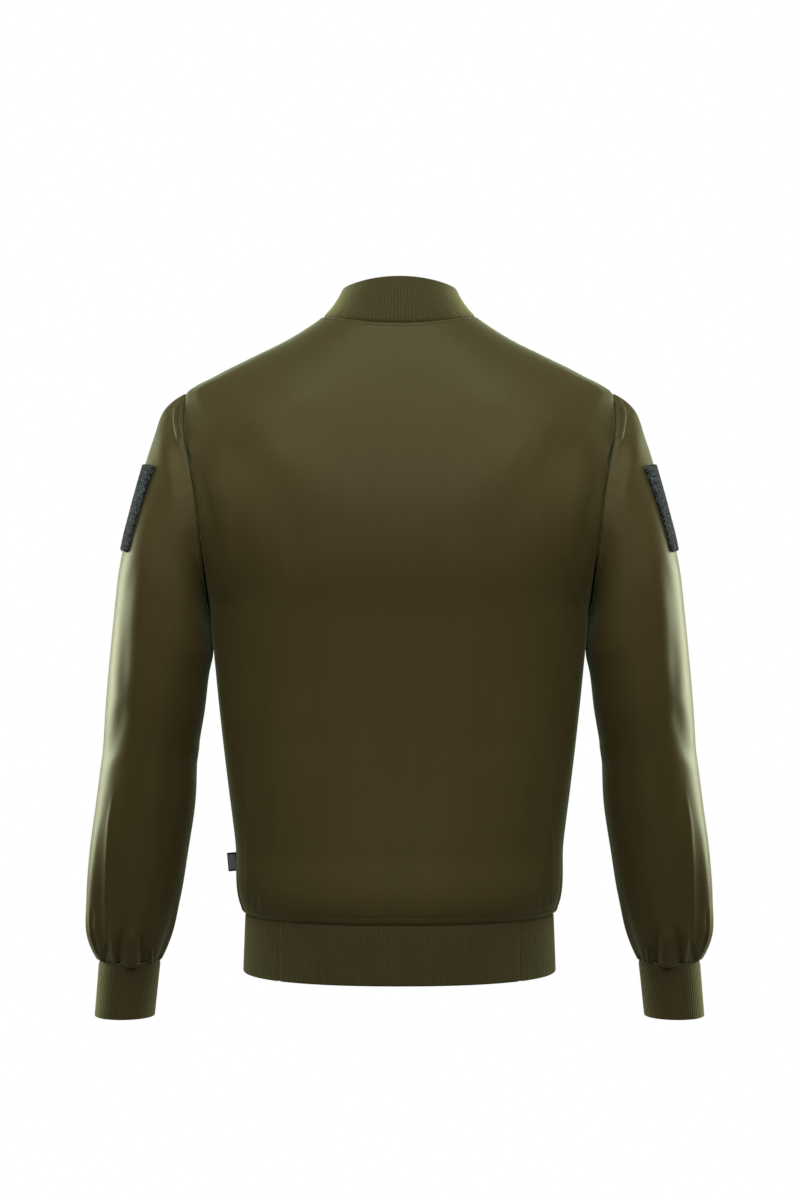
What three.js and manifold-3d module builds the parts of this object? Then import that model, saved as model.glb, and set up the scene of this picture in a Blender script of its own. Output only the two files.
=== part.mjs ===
// A men's bomber jacket in olive nylon, filled out as it is worn and seen with nobody in it: the sleeves
// hang at the sides, the zip is closed and the ribbed collar, cuffs and waistband are open hollows.
// Millimetres. +X is the wearer's left, -Y the front, +Z up. The origin is the middle of the neck hole,
// level with the two points where the collar seam crosses the tops of the shoulders.
import * as THREE from "three";
import Module from "manifold-3d";

const wasm = await Module();
wasm.setup();

// Driving sizes

const CLOTH = 1.5; // nylon shell with its backing
const RIB = 2.6; // doubled rib knit
const SEAM_GAP = 0.35; // between two pieces sewn edge to edge
const ZIP_OPENING = 11; // between the two front edges, where the zip shows
const ARMHOLE_ROWS = 16; // rows of each panel along the armhole, and half the columns of a sleeve
const LOWER_ROWS = 5; // rows from the waistband seam to the underarm
const YOKE_ROWS = 4; // rows from the shoulder point to the neck
const SLEEVE_ROWS = 15;
const PANEL_COLUMNS = 15; // of a front, and of each half of the back
const GATHER_COLUMNS = 9; // of those, the narrow ones beside the side seam
const GATHER_SHARE = 0.25; // and how much of the way to the middle they take

const RIB_PITCH = 3.1; // one raised rib and the groove beside it
const RIB_RISE = 0.45; // from groove to crest
const WAISTBAND_TOP = -594.4;
const WAISTBAND_BOTTOM = -652;
const BAND = { topHalf: 153.6, topDepth: 117.6, bottomHalf: 155.8, bottomDepth: 119.4, round: 2.25 };
const CUFF_LENGTH = 56;
const CUFF = { topHalf: 30.9, bottomHalf: 30.2, bottomDepth: 32.2, girth: 202 };
const WAISTBAND_GIRTH = 855;
const COLLAR_GIRTH = 478;
const INNER_COLUMNS = { waistband: 44, collar: 40, cuff: 20 }; // of the plain inner side of a ribbed band

// How high each row stands: 0 is the waistband seam, 1 the underarm, 2 the shoulder point, 3 the neck seam.
// The edge is the side seam, then the armhole, then the shoulder seam. The middle is the centre back or
// the zip edge. round is the power of the oval that joins them: 2 is an ellipse, more is squarer.
const BACK = table(["at", "edgeX", "edgeY", "edgeZ", "midY", "midZ", "round"], [
  [0.0, 154.6, 0, -594, 118, -594, 2.25],
  [0.04, 158.2, 0, -585, 121, -585, 2.3],
  [0.25, 164.0, 0, -520, 119.5, -520, 2.4],
  [0.5, 173.5, 0, -445, 116, -444, 2.45],
  [0.78, 182.2, 0, -364, 115.5, -362, 2.5],
  [0.93, 186.2, 0, -320, 117.5, -317, 2.5],
  [1.0, 188.0, 0, -297, 119, -294, 2.48],
  [1.1, 189.0, 26, -286, 121, -281, 2.44],
  [1.22, 190.5, 51, -261, 123.5, -258, 2.36],
  [1.34, 193.5, 66, -232, 125, -232, 2.25],
  [1.45, 197.0, 71.5, -203, 124.5, -205, 2.15],
  [1.56, 200.5, 69, -174, 122, -178, 2.08],
  [1.68, 206.5, 58, -145, 117, -151, 2.03],
  [1.82, 213.0, 38, -112, 109.5, -123, 2.0],
  [1.93, 214.0, 16, -89, 103, -105, 2.0],
  [2.0, 212.0, 0, -76, 99.5, -94, 2.0],
  [2.2, 190.0, 0, -63, 93.5, -78, 2.0],
  [2.45, 152.5, 0, -43.5, 85, -55, 2.0],
  [2.75, 111.0, 0, -23, 75, -32, 2.0],
  [3.0, 76.0, 0, 0, 66, -12, 2.0],
]);
const FRONT = table(["at", "edgeX", "edgeY", "edgeZ", "midY", "midZ", "round"], [
  [0.0, 154.6, 0, -594, 118, -594, 2.25],
  [0.04, 158.2, 0, -585, 121.5, -585, 2.3],
  [0.25, 164.0, 0, -520, 127, -522, 2.4],
  [0.5, 173.5, 0, -445, 131, -449, 2.45],
  [0.78, 182.2, 0, -364, 135, -372, 2.5],
  [0.93, 186.2, 0, -320, 137.5, -331, 2.5],
  [1.0, 188.0, 0, -297, 138.5, -310, 2.48],
  [1.1, 187.5, 25, -285, 139, -296, 2.44],
  [1.22, 186.5, 47, -259, 138.5, -275, 2.38],
  [1.34, 186.5, 59, -231, 137, -252, 2.3],
  [1.45, 188.5, 63, -203, 134.5, -229, 2.22],
  [1.56, 193.0, 60, -174, 130.5, -206, 2.15],
  [1.68, 200.0, 50, -144, 124.5, -182, 2.08],
  [1.82, 208.0, 33, -111, 116.5, -157, 2.0],
  [1.93, 211.5, 14, -88, 110, -141, 2.0],
  [2.0, 212.0, 0, -76, 106.5, -132, 2.0],
  [2.2, 190.0, 0, -63, 101.5, -120, 2.0],
  [2.45, 152.5, 0, -43.5, 96, -107, 2.0],
  [2.75, 111.0, 0, -23, 90.5, -93, 2.0],
  [3.0, 76.0, 0, 0, 85, -79, 2.0],
]);

// A sleeve from the armhole, at 0, to the cuff seam, at 1. Each section lies in a plane through its outer
// and inner points; depth is half its size from front to back and midY the middle of that.
const SLEEVE = table(["at", "outerX", "outerZ", "innerX", "innerZ", "depth", "midY", "round"], [
  [0.0, 212.0, -76, 188.4, -297, 70, 5, 2.0],
  [0.05, 226.0, -83, 188.6, -299, 70.5, 5, 2.0],
  [0.1, 238.5, -100, 188.6, -301.5, 71, 5, 2.05],
  [0.15, 246.0, -123, 188.4, -304.5, 71.5, 5, 2.1],
  [0.2, 253.0, -145, 188.2, -308, 72, 5, 2.2],
  [0.25, 259.0, -166, 187.9, -311.5, 72, 5, 2.3],
  [0.3, 264.5, -188, 187.5, -315.5, 72, 5, 2.35],
  [0.35, 270.0, -211, 187.2, -319.5, 72, 5, 2.4],
  [0.4, 275.5, -235, 186.9, -324.5, 71.5, 5, 2.4],
  [0.46, 280.5, -264, 186.6, -331, 71, 5, 2.4],
  [0.52, 284.5, -300, 186.4, -341, 70, 5, 2.35],
  [0.58, 288.5, -341, 189.2, -360, 68, 4, 2.3],
  [0.65, 293.0, -388, 195.5, -397, 65, 1, 2.2],
  [0.72, 297.5, -440, 201.5, -445, 62, -4, 2.15],
  [0.79, 305.8, -498, 207.9, -501, 59, -11, 2.1],
  [0.85, 312.5, -547, 214.4, -547, 56, -17, 2.1],
  [0.91, 315.4, -595, 223.0, -594, 51, -24, 2.1],
  [0.955, 313.9, -625, 231.0, -623, 45.5, -28, 2.1],
  [0.985, 308.0, -641.5, 237.7, -640.5, 38.5, -30, 2.05],
  [1.0, 304.2, -647.5, 241.5, -647.5, 33.5, -31, 2.0],
]);

// The collar from its seam, at 0, to its top edge, at 1: half widths to the side, back and front, heights,
// and how late the height falls off towards the front.
const COLLAR = table(["at", "side", "back", "front", "sideZ", "backZ", "frontZ", "fall"], [
  [0.0, 75.8, 65.9, 84.8, 0.6, -11.6, -78.5, 2.0],
  [0.3, 68.8, 61.6, 81.0, 7.0, 2.5, -67.5, 2.15],
  [0.65, 61.4, 56.2, 76.5, 18.5, 19.5, -54, 2.4],
  [1.0, 56.4, 50.5, 72.0, 28.0, 35.5, -41, 2.6],
]);
const COLLAR_ENDS = { half: 2.2, from: 0.9, fall: 0.2 };

const LOOP_PANEL = { top: 213.2, bottom: 302, lean: 16.3, thickness: 2.2, clearance: 0.75, rows: 5 };
const LOOP_COLUMNS = [-3.45, -3, -2, -1, 0, 1, 2, 3, 3.35]; // columns of the sleeve, from its outermost one
const LABEL = { reach: 9.5, height: 18.5, top: -535, strip: 0.5, fold: 0.7, clear: 0.5 };
const ZIP = {
  chainHalf: 3,
  chainFront: 0.3,
  chainBack: -2.3,
  chainBottom: -0.96,
  tapeOuter: 14,
  tapeInner: 0.5,
  tapeThickness: 1,
  tapeTop: 2.985,
};

// Folds of the cloth that show from across a room. Gathers are the small pleats at the two rib seams.
const CUFF_GATHERS = { count: 11, depth: 2.1, length: 0.075 };
const HEM_GATHERS = { pitch: 13, depth: 1.7, width: 62, length: 0.11 };
const EVENING = { trips: 14, stepIn: 0.6, stepOut: 0.62, from: 0.3, fade: 0.4 };
const SLEEVE_FOLDS = table(["at", "angle", "reach", "spread", "depth"], [
  [0.56, 168, 0.02, 62, -3.2],
  [0.61, 176, 0.018, 55, 2.6],
  [0.7, 150, 0.022, 60, -2.4],
  [0.76, 172, 0.02, 50, 1.8],
  [0.9, 38, 0.09, 11, 2.4],
  [0.9, 62, 0.1, 12, -1.6],
]);

// Helpers

function table(names, rows) {
  return rows.map((row) => Object.fromEntries(names.map((name, i) => [name, row[i]])));
}

// Smooth values between the rows of a table, with no overshoot.
function along(rows, at) {
  const last = rows.length - 1;
  let i = 0;
  while (i < last - 1 && at > rows[i + 1].at) i++;
  const [a, b] = [rows[i], rows[i + 1]];
  const width = b.at - a.at;
  const t = (at - a.at) / width;
  const out = {};
  for (const name of Object.keys(a)) {
    const rise = (k) => (rows[k + 1][name] - rows[k][name]) / (rows[k + 1].at - rows[k].at);
    const slope = (k) => {
      if (k === 0) return rise(0);
      if (k === last) return rise(last - 1);
      const [before, after] = [rise(k - 1), rise(k)];
      return before * after <= 0 ? 0 : (2 * before * after) / (before + after);
    };
    const [h1, h2] = [t * t * (3 - 2 * t), t * (1 - t) * (1 - t)];
    const h3 = t * t * (t - 1);
    out[name] = a[name] * (1 - h1) + b[name] * h1 + width * (h2 * slope(i) + h3 * slope(i + 1));
  }
  return out;
}

const clamp01 = (t) => Math.min(1, Math.max(0, t));
const smooth = (t) => clamp01(t) ** 2 * (3 - 2 * clamp01(t));
const mix = (a, b, t) => a + (b - a) * t;
const bell = (t) => Math.exp(-t * t);
const vec = (x, y, z) => new THREE.Vector3(x, y, z);

// A closed solid from two grids of points, the outer and inner sides of a wall. Each side may have its own
// number of columns, as ribs need many outside and few inside. A round wall joins its last column to its
// first.
function wall(outer, inner, round) {
  const points = [];
  const triangles = [];
  const place = (rows) => rows.map((row) => row.map((p) => points.push(p) - 1));
  const [o, n] = [place(outer), place(inner)];
  const side = (ids, flip) => {
    for (let i = 0; i + 1 < ids.length; i++) {
      const width = ids[i].length;
      for (let j = 0; j < (round ? width : width - 1); j++) {
        const k = (j + 1) % width;
        const [a, b, c, d] = [ids[i][j], ids[i][k], ids[i + 1][k], ids[i + 1][j]];
        triangles.push(...(flip ? [[a, c, b], [a, d, c]] : [[a, b, c], [a, c, d]]));
      }
    }
  };
  side(o, false);
  side(n, true);
  // The strip between two edges, whose columns may not match.
  const strip = (upper, lower, flip) => {
    const close = (row) => (round ? [...row, row[0]] : row);
    const [u, l] = [close(upper), close(lower)];
    let [i, j] = [0, 0];
    while (i < u.length - 1 || j < l.length - 1) {
      const nextUpper = i < u.length - 1 ? (i + 1) / (u.length - 1) : 2;
      const nextLower = j < l.length - 1 ? (j + 1) / (l.length - 1) : 2;
      const tri = nextUpper <= nextLower ? [u[i], l[j], u[++i]] : [u[i], l[j], l[++j]];
      triangles.push(flip ? [tri[0], tri[2], tri[1]] : tri);
    }
  };
  strip(o[0], n[0], false);
  strip(o[o.length - 1], n[n.length - 1], true);
  if (!round) {
    for (let i = 0; i + 1 < o.length; i++) {
      const [a, b] = [o[i][0], o[i + 1][0]];
      const [c, d] = [n[i][0], n[i + 1][0]];
      triangles.push([a, b, d], [a, d, c]);
      const [e, f] = [o[i].at(-1), o[i + 1].at(-1)];
      const [g, h] = [n[i].at(-1), n[i + 1].at(-1)];
      triangles.push([e, h, f], [e, g, h]);
    }
  }
  let volume = 0;
  for (const [a, b, c] of triangles) volume += points[a].dot(points[b].clone().cross(points[c]));
  if (volume < 0) for (const t of triangles) [t[1], t[2]] = [t[2], t[1]];
  const geometry = new THREE.BufferGeometry();
  const numbers = points.flatMap((p) => [p.x, p.y, p.z]);
  geometry.setAttribute("position", new THREE.Float32BufferAttribute(numbers, 3));
  geometry.setIndex(triangles.flat());
  geometry.computeVertexNormals();
  return geometry;
}

// Unit normals of a grid of points, turned to point away from a line down the middle of the piece.
function normals(rows, round, middle) {
  return rows.map((row, i) =>
    row.map((p, j) => {
      const width = row.length;
      const left = round ? row[(j + width - 1) % width] : row[Math.max(j - 1, 0)];
      const right = round ? row[(j + 1) % width] : row[Math.min(j + 1, width - 1)];
      const up = rows[Math.min(i + 1, rows.length - 1)][j].clone().sub(rows[Math.max(i - 1, 0)][j]);
      const n = right.clone().sub(left).cross(up).normalize();
      return n.dot(p.clone().sub(middle(p, i))) < 0 ? n.negate() : n;
    }),
  );
}

const shifted = (rows, directions, distance) =>
  rows.map((row, i) => row.map((p, j) => p.clone().addScaledVector(directions[i][j], distance)));

const mirrored = (rows, side) => rows.map((row) => row.map((p) => vec(side * p.x, p.y, p.z)));

// Body panels

// Pleats where the body is gathered into the waistband, near the side seam: the push outwards.
function hemGather(at, girth) {
  const rise = bell(at / HEM_GATHERS.length);
  const near = smooth(1 - girth / HEM_GATHERS.width);
  return HEM_GATHERS.depth * rise * near * Math.sin((2 * Math.PI * girth) / HEM_GATHERS.pitch);
}

// A point of the body: at is how high, across runs from the edge, 0, to the middle, 1. facing is 1 for the
// back and -1 for a front; inset keeps the middle edge of a front clear of the zip.
function bodyPoint(rows, facing, at, across, inset) {
  const r = along(rows, at);
  const edgeY = Math.max(r.edgeY, SEAM_GAP / 2);
  const [share, power] = [edgeY / r.midY, r.round];
  const halfWidth = r.edgeX / (1 - share ** power) ** (1 / power);
  const start = Math.atan2(edgeY / r.midY, r.edgeX / halfWidth);
  const end = Math.acos(inset / halfWidth);
  const angle = mix(start, end, across);
  const [c, s] = [Math.cos(angle), Math.sin(angle)];
  const size = (c ** power + s ** power) ** (1 / power);
  const drop = (s * s - Math.sin(start) ** 2) / (1 - Math.sin(start) ** 2);
  const push = 1 + hemGather(at, (angle - start) * halfWidth * 0.8) / halfWidth;
  return vec((push * halfWidth * c) / size, (push * facing * r.midY * s) / size, mix(r.edgeZ, r.midZ, drop));
}

// The heights of a panel's rows, with the seams on rows of their own.
function panelHeights() {
  const heights = [0, 0.045];
  for (let i = 1; i <= LOWER_ROWS; i++) heights.push(mix(0.045, 1, i / LOWER_ROWS));
  for (let i = 1; i <= ARMHOLE_ROWS; i++) heights.push(1 + i / ARMHOLE_ROWS);
  for (let i = 1; i <= YOKE_ROWS; i++) heights.push(2 + i / YOKE_ROWS);
  return heights;
}

const armholeMiddle = vec(200, 4, -187);
const towardsArmhole = (p) => vec(0, armholeMiddle.y - p.y, armholeMiddle.z - p.z).normalize();

// The inner side of a panel. Along the armhole it faces the armhole's middle, as the sleeve's edge does.
function panelInner(rows, heights, armholeColumns) {
  const out = normals(rows, false, (p) => vec(0, 0, Math.min(p.z, -90)));
  return rows.map((row, i) =>
    row.map((p, j) => {
      const inArmhole = armholeColumns.includes(j) && heights[i] > 0.999 && heights[i] < 2.001;
      if (!inArmhole) return p.clone().addScaledVector(out[i][j], -CLOTH);
      const aim = towardsArmhole(vec(Math.abs(p.x), p.y, p.z));
      return p.clone().addScaledVector(aim, CLOTH);
    }),
  );
}

// How far towards the middle a column stands: narrow columns by the side seam, for the gathers, then wide
// ones.
function spaced(column) {
  if (column <= GATHER_COLUMNS) return (GATHER_SHARE * column) / GATHER_COLUMNS;
  return mix(GATHER_SHARE, 1, (column - GATHER_COLUMNS) / (PANEL_COLUMNS - GATHER_COLUMNS));
}

// Evens out the points inside a panel, above the gathers, and leaves its edges alone. Each round trip of a
// step in and a slightly longer step out keeps the panel's size.
function evened(rows, heights) {
  let grid = rows;
  for (const step of [...Array(EVENING.trips)].flatMap(() => [EVENING.stepIn, -EVENING.stepOut])) {
    grid = grid.map((row, i) =>
      row.map((p, j) => {
        if (i === 0 || j === 0 || i === grid.length - 1 || j === row.length - 1) return p;
        const near = [grid[i - 1][j], grid[i + 1][j], row[j - 1], row[j + 1]];
        const weights = near.map((q) => 1 / q.distanceTo(p));
        const total = weights.reduce((a, b) => a + b);
        const mean = near.reduce((sum, q, k) => sum.addScaledVector(q, weights[k] / total), vec(0, 0, 0));
        return p.clone().lerp(mean, step * smooth((heights[i] - EVENING.from) / EVENING.fade));
      }),
    );
  }
  return grid;
}

function backPanel() {
  const heights = panelHeights();
  const rows = heights.map((at) => {
    const row = [];
    for (let j = -PANEL_COLUMNS; j <= PANEL_COLUMNS; j++) {
      const p = bodyPoint(BACK, 1, at, spaced(PANEL_COLUMNS - Math.abs(j)), 0);
      row.push(vec(j < 0 ? p.x : -p.x, p.y, p.z));
    }
    return row;
  });
  const even = evened(rows, heights);
  return wall(even, panelInner(even, heights, [0, 2 * PANEL_COLUMNS]), false);
}

function frontPanel(side) {
  const heights = panelHeights();
  const rows = heights.map((at) => {
    const row = [];
    for (let j = 0; j <= PANEL_COLUMNS; j++) row.push(bodyPoint(FRONT, -1, at, spaced(j), ZIP_OPENING / 2));
    return row;
  });
  const even = evened(rows, heights);
  return wall(mirrored(even, side), mirrored(panelInner(even, heights, [0]), side), false);
}

// Sleeves

// The armhole seam: column 0 is the shoulder point, a half turn over the back is the underarm.
function armhole(turn) {
  const overBack = turn <= 0.5;
  const at = overBack ? 2 - 2 * turn : 2 * turn;
  const r = along(overBack ? BACK : FRONT, at);
  return vec(r.edgeX, overBack ? r.edgeY : -r.edgeY, r.edgeZ);
}

function sleeveFold(at, angle) {
  const degrees = THREE.MathUtils.radToDeg(angle);
  let push = 0;
  for (const f of SLEEVE_FOLDS) {
    const away = Math.abs(((degrees - f.angle + 540) % 360) - 180);
    push += f.depth * bell((at - f.at) / f.reach) * bell(away / f.spread);
  }
  const gather = bell((1 - at) / CUFF_GATHERS.length) * CUFF_GATHERS.depth;
  return push + gather * Math.sin(CUFF_GATHERS.count * angle + 0.5) * smooth((1 - at) / 0.012 + 0.45);
}

// A point of the left sleeve's outer side: at runs down the sleeve, turn goes once round it.
function sleevePoint(at, turn) {
  const r = along(SLEEVE, at);
  const first = SLEEVE[0];
  const frame = (row) => {
    const [out, up] = [row.outerX - row.innerX, row.outerZ - row.innerZ];
    const length = Math.hypot(out, up);
    return { half: length / 2, u: vec(out / length, 0, up / length), n: vec(up / length, 0, -out / length) };
  };
  const [here, top] = [frame(r), frame(first)];
  const centre = (row) => vec((row.outerX + row.innerX) / 2, row.midY, (row.outerZ + row.innerZ) / 2);
  const from = armhole(turn).sub(centre(first));
  const [u, v] = [from.dot(top.u) / top.half, from.y / first.depth];
  const lift = from.dot(top.n);
  const angle = Math.atan2(v, u);
  const [c, s] = [Math.cos(angle), Math.sin(angle)];
  const size = (Math.abs(c) ** r.round + Math.abs(s) ** r.round) ** (1 / r.round);
  const own = smooth(at / 0.4);
  const around = (angle + 2 * Math.PI) % (2 * Math.PI);
  const push = 1 + sleeveFold(at, around) / here.half;
  const across = mix(u, c / size, own) * push;
  const deep = mix(v, s / size, own) * push;
  return centre(r)
    .addScaledVector(here.u, here.half * across)
    .addScaledVector(here.n, lift * (1 - own) + SEAM_GAP * (at === 0 ? 1 : 0))
    .add(vec(0, r.depth * deep, 0));
}

const sleeveMiddle = (at) => {
  const r = along(SLEEVE, at);
  return vec((r.outerX + r.innerX) / 2, r.midY, (r.outerZ + r.innerZ) / 2);
};

// Rows crowd towards the cuff, where the gathers are.
const ROW_CROWDING = 1.12;
const sleeveAt = (i) => 1 - (1 - i / SLEEVE_ROWS) ** ROW_CROWDING;

function sleeveRows() {
  const columns = 2 * ARMHOLE_ROWS;
  const rows = [];
  for (let i = 0; i <= SLEEVE_ROWS; i++) {
    const row = [];
    for (let j = 0; j < columns; j++) row.push(sleevePoint(sleeveAt(i), j / columns));
    rows.push(row);
  }
  return rows;
}

// The point of a round wall's outer faces at a row and column that need not be whole numbers.
function onFaces(rows, row, column) {
  const i = Math.min(Math.floor(row), rows.length - 2);
  const width = rows[0].length;
  const j = Math.floor(column) % width;
  const [v, u] = [row - i, column - Math.floor(column)];
  const k = (j + 1) % width;
  const [a, b, c, d] = [rows[i][j], rows[i][k], rows[i + 1][k], rows[i + 1][j]];
  const corner = a.clone();
  if (u >= v) return corner.addScaledVector(b.clone().sub(a), u).addScaledVector(c.clone().sub(b), v);
  return corner.addScaledVector(d.clone().sub(a), v).addScaledVector(c.clone().sub(d), u);
}

function sleeve(side) {
  const rows = sleeveRows();
  const out = normals(rows, true, (p, i) => sleeveMiddle(sleeveAt(i)));
  const inner = rows.map((row, i) =>
    row.map((p, j) => {
      if (i === 0) return p.clone().addScaledVector(towardsArmhole(p), CLOTH);
      const depth = i === SLEEVE_ROWS ? out[i][j].clone().setZ(0).normalize() : out[i][j];
      return p.clone().addScaledVector(depth, -CLOTH);
    }),
  );
  return wall(mirrored(rows, side), mirrored(inner, side), true);
}

// Ribbed bands

// The crest or groove that a column of a ribbed wall stands on.
const ribRise = (column) => (column % 2 ? RIB_RISE / 2 : -RIB_RISE / 2);

// A ribbed wall from a function of height and turn. Its inner side is plain.
function ribbed(pointAt, middle, rowsUp, ribs, innerColumns, round) {
  const grid = (columns, step) => {
    const rows = [];
    const width = round ? columns : columns + 1;
    for (let i = 0; i <= rowsUp; i++) {
      const row = [];
      for (let j = 0; j < width; j++) row.push(step(i / rowsUp, j / columns, j));
      rows.push(row);
    }
    return rows;
  };
  const outwards = (at, turn) => {
    const e = 1e-3;
    const across = pointAt(at, turn + e).sub(pointAt(at, turn - e));
    const up = pointAt(at + e, turn).sub(pointAt(at - e, turn));
    const n = across.cross(up).normalize();
    return n.dot(pointAt(at, turn).sub(middle(at))) < 0 ? n.negate() : n;
  };
  const moved = (at, turn, distance) => pointAt(at, turn).addScaledVector(outwards(at, turn), distance);
  const outer = grid(2 * ribs, (at, turn, j) => moved(at, turn, ribRise(j)));
  const inner = grid(innerColumns, (at, turn) => moved(at, turn, -RIB));
  return [outer, inner];
}

// The waistband runs from one side of the zip, round the back, to the other.
function waistband() {
  const bandPoint = (at, turn) => {
    const [half, depth] = [mix(BAND.topHalf, BAND.bottomHalf, at), mix(BAND.topDepth, BAND.bottomDepth, at)];
    const gap = Math.asin(ZIP_OPENING / 2 / half);
    const angle = -Math.PI / 2 + gap + turn * (2 * Math.PI - 2 * gap);
    const [c, s] = [Math.cos(angle), Math.sin(angle)];
    const size = (Math.abs(c) ** BAND.round + Math.abs(s) ** BAND.round) ** (1 / BAND.round);
    return vec((half * c) / size, (depth * s) / size, mix(WAISTBAND_TOP, WAISTBAND_BOTTOM, at));
  };
  const middle = () => vec(0, 0, (WAISTBAND_TOP + WAISTBAND_BOTTOM) / 2);
  const ribs = Math.round(WAISTBAND_GIRTH / RIB_PITCH);
  const [outer, inner] = ribbed(bandPoint, middle, 1, ribs, INNER_COLUMNS.waistband, false);
  return wall(outer, inner, false);
}

function cuff(side) {
  const top = SLEEVE.at(-1);
  const lean = vec(0.095, -0.03, -1).normalize();
  const cuffPoint = (at, turn) => {
    const middle = sleeveMiddle(1).addScaledVector(lean, SEAM_GAP + at * CUFF_LENGTH);
    const [half, deep] = [mix(CUFF.topHalf, CUFF.bottomHalf, at), mix(top.depth, CUFF.bottomDepth, at)];
    const angle = 2 * Math.PI * turn;
    return middle.add(vec(half * Math.cos(angle), deep * Math.sin(angle), 0));
  };
  const core = (at) => sleeveMiddle(1).addScaledVector(lean, at * CUFF_LENGTH);
  const ribs = Math.round(CUFF.girth / RIB_PITCH);
  const [outer, inner] = ribbed(cuffPoint, core, 1, ribs, INNER_COLUMNS.cuff, true);
  return wall(mirrored(outer, side), mirrored(inner, side), true);
}

// A point of the neck seam that the panels end at, on the straight edges between their columns, moved a
// seam's gap up the cloth. facing and across are as in bodyPoint.
function neckEdge(facing, across) {
  const [rows, inset] = facing > 0 ? [BACK, 0] : [FRONT, ZIP_OPENING / 2];
  const point = (at, share) => bodyPoint(rows, facing, at, share, inset);
  let j = 0;
  while (j < PANEL_COLUMNS - 1 && spaced(j + 1) < across) j++;
  const [from, to] = [spaced(j), spaced(j + 1)];
  const chord = (at) => point(at, from).lerp(point(at, to), (across - from) / (to - from));
  const [edge, below] = [chord(3), chord(2.9)];
  return edge.clone().addScaledVector(edge.clone().sub(below).normalize(), SEAM_GAP);
}

// The collar runs from one front end, round the back, to the other. Its front ends are rounded off.
function collar() {
  const ring = (row, angle) => {
    const [c, s] = [Math.cos(angle), Math.sin(angle)];
    const rise = s > 0 ? mix(row.sideZ, row.backZ, s * s) : mix(row.sideZ, row.frontZ, (-s) ** row.fall);
    return vec(row.side * c, (s > 0 ? row.back : row.front) * s, rise);
  };
  const collarPoint = (at, turn) => {
    const fromBack = 2 * Math.abs(turn - 0.5); // 0 at the centre back, 1 at the front ends
    const ends = smooth((fromBack - COLLAR_ENDS.from) / (1 - COLLAR_ENDS.from));
    const r = along(COLLAR, at * (1 - COLLAR_ENDS.fall * ends));
    const gap = Math.asin(COLLAR_ENDS.half / r.side);
    const angle = -Math.PI / 2 + gap + turn * (2 * Math.PI - 2 * gap);
    const [c, s] = [Math.cos(angle), Math.sin(angle)];
    const edgeGap = s > 0 ? 0 : Math.asin(ZIP_OPENING / 2 / COLLAR[0].side);
    const across = clamp01(Math.atan2(Math.abs(s), Math.abs(c)) / (Math.PI / 2 - edgeGap));
    const sewn = neckEdge(s > 0 ? 1 : -1, across);
    sewn.x *= c < 0 ? -1 : 1;
    return ring(r, angle).addScaledVector(sewn.sub(ring(COLLAR[0], angle)), smooth(1 - Math.abs(at) / 0.4));
  };
  const middle = () => vec(0, 0, -30);
  const ribs = Math.round(COLLAR_GIRTH / RIB_PITCH);
  const [outer, inner] = ribbed(collarPoint, middle, 2, ribs, INNER_COLUMNS.collar, false);
  return wall(outer, inner, false);
}

// What lies on the cloth

// A loop-fastener panel on the outside of the upper sleeve, made from the sleeve's columns, moved out.
function loopPanel(side) {
  const faces = sleeveRows();
  const lean = THREE.MathUtils.degToRad(LOOP_PANEL.lean);
  const reach = (p) => p.x * Math.sin(lean) - p.z * Math.cos(lean);
  // The point where a column of the sleeve reaches a given distance down it.
  const pointDown = (distance, column) => {
    let [low, high] = [0, SLEEVE_ROWS / 2];
    for (let i = 0; i < 30; i++) {
      const middle = (low + high) / 2;
      if (reach(onFaces(faces, middle, column)) < distance) low = middle;
      else high = middle;
    }
    return onFaces(faces, low, column);
  };
  const rows = [];
  for (let i = 0; i <= LOOP_PANEL.rows; i++) {
    const distance = mix(LOOP_PANEL.top, LOOP_PANEL.bottom, i / LOOP_PANEL.rows);
    const columns = 2 * ARMHOLE_ROWS;
    rows.push(LOOP_COLUMNS.map((column) => pointDown(distance, (column + columns) % columns)));
  }
  const out = normals(rows, false, () => vec(200, 4, -200));
  const inner = shifted(rows, out, LOOP_PANEL.clearance);
  const outer = shifted(rows, out, LOOP_PANEL.clearance + LOOP_PANEL.thickness);
  return wall(mirrored(outer, side), mirrored(inner, side), false);
}

// The woven tab folded double and caught in the left side seam. It leans as the seam does.
function sideLabel() {
  const half = LABEL.strip + LABEL.fold / 2;
  const shape = new THREE.Shape();
  shape.moveTo(0, -half);
  shape.lineTo(LABEL.reach - half, -half);
  shape.absarc(LABEL.reach - half, 0, half, -Math.PI / 2, Math.PI / 2, false);
  shape.lineTo(0, half);
  shape.lineTo(0, LABEL.fold / 2);
  shape.lineTo(LABEL.reach - half, LABEL.fold / 2);
  shape.absarc(LABEL.reach - half, 0, LABEL.fold / 2, Math.PI / 2, -Math.PI / 2, true);
  shape.lineTo(0, -LABEL.fold / 2);
  const settings = { depth: LABEL.height, bevelEnabled: false, curveSegments: 4 };
  const geometry = new THREE.ExtrudeGeometry(shape, settings);
  const seamAt = (z) => {
    const i = BACK.findIndex((row) => row.edgeZ > z);
    const [low, high] = [BACK[i - 1], BACK[i]];
    return mix(low.edgeX, high.edgeX, (z - low.edgeZ) / (high.edgeZ - low.edgeZ));
  };
  const bottom = LABEL.top - LABEL.height;
  const lean = Math.atan2(seamAt(LABEL.top) - seamAt(bottom), LABEL.height);
  return geometry.rotateY(lean).translate(seamAt(bottom) + LABEL.clear, 0, bottom);
}

// Zip

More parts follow.
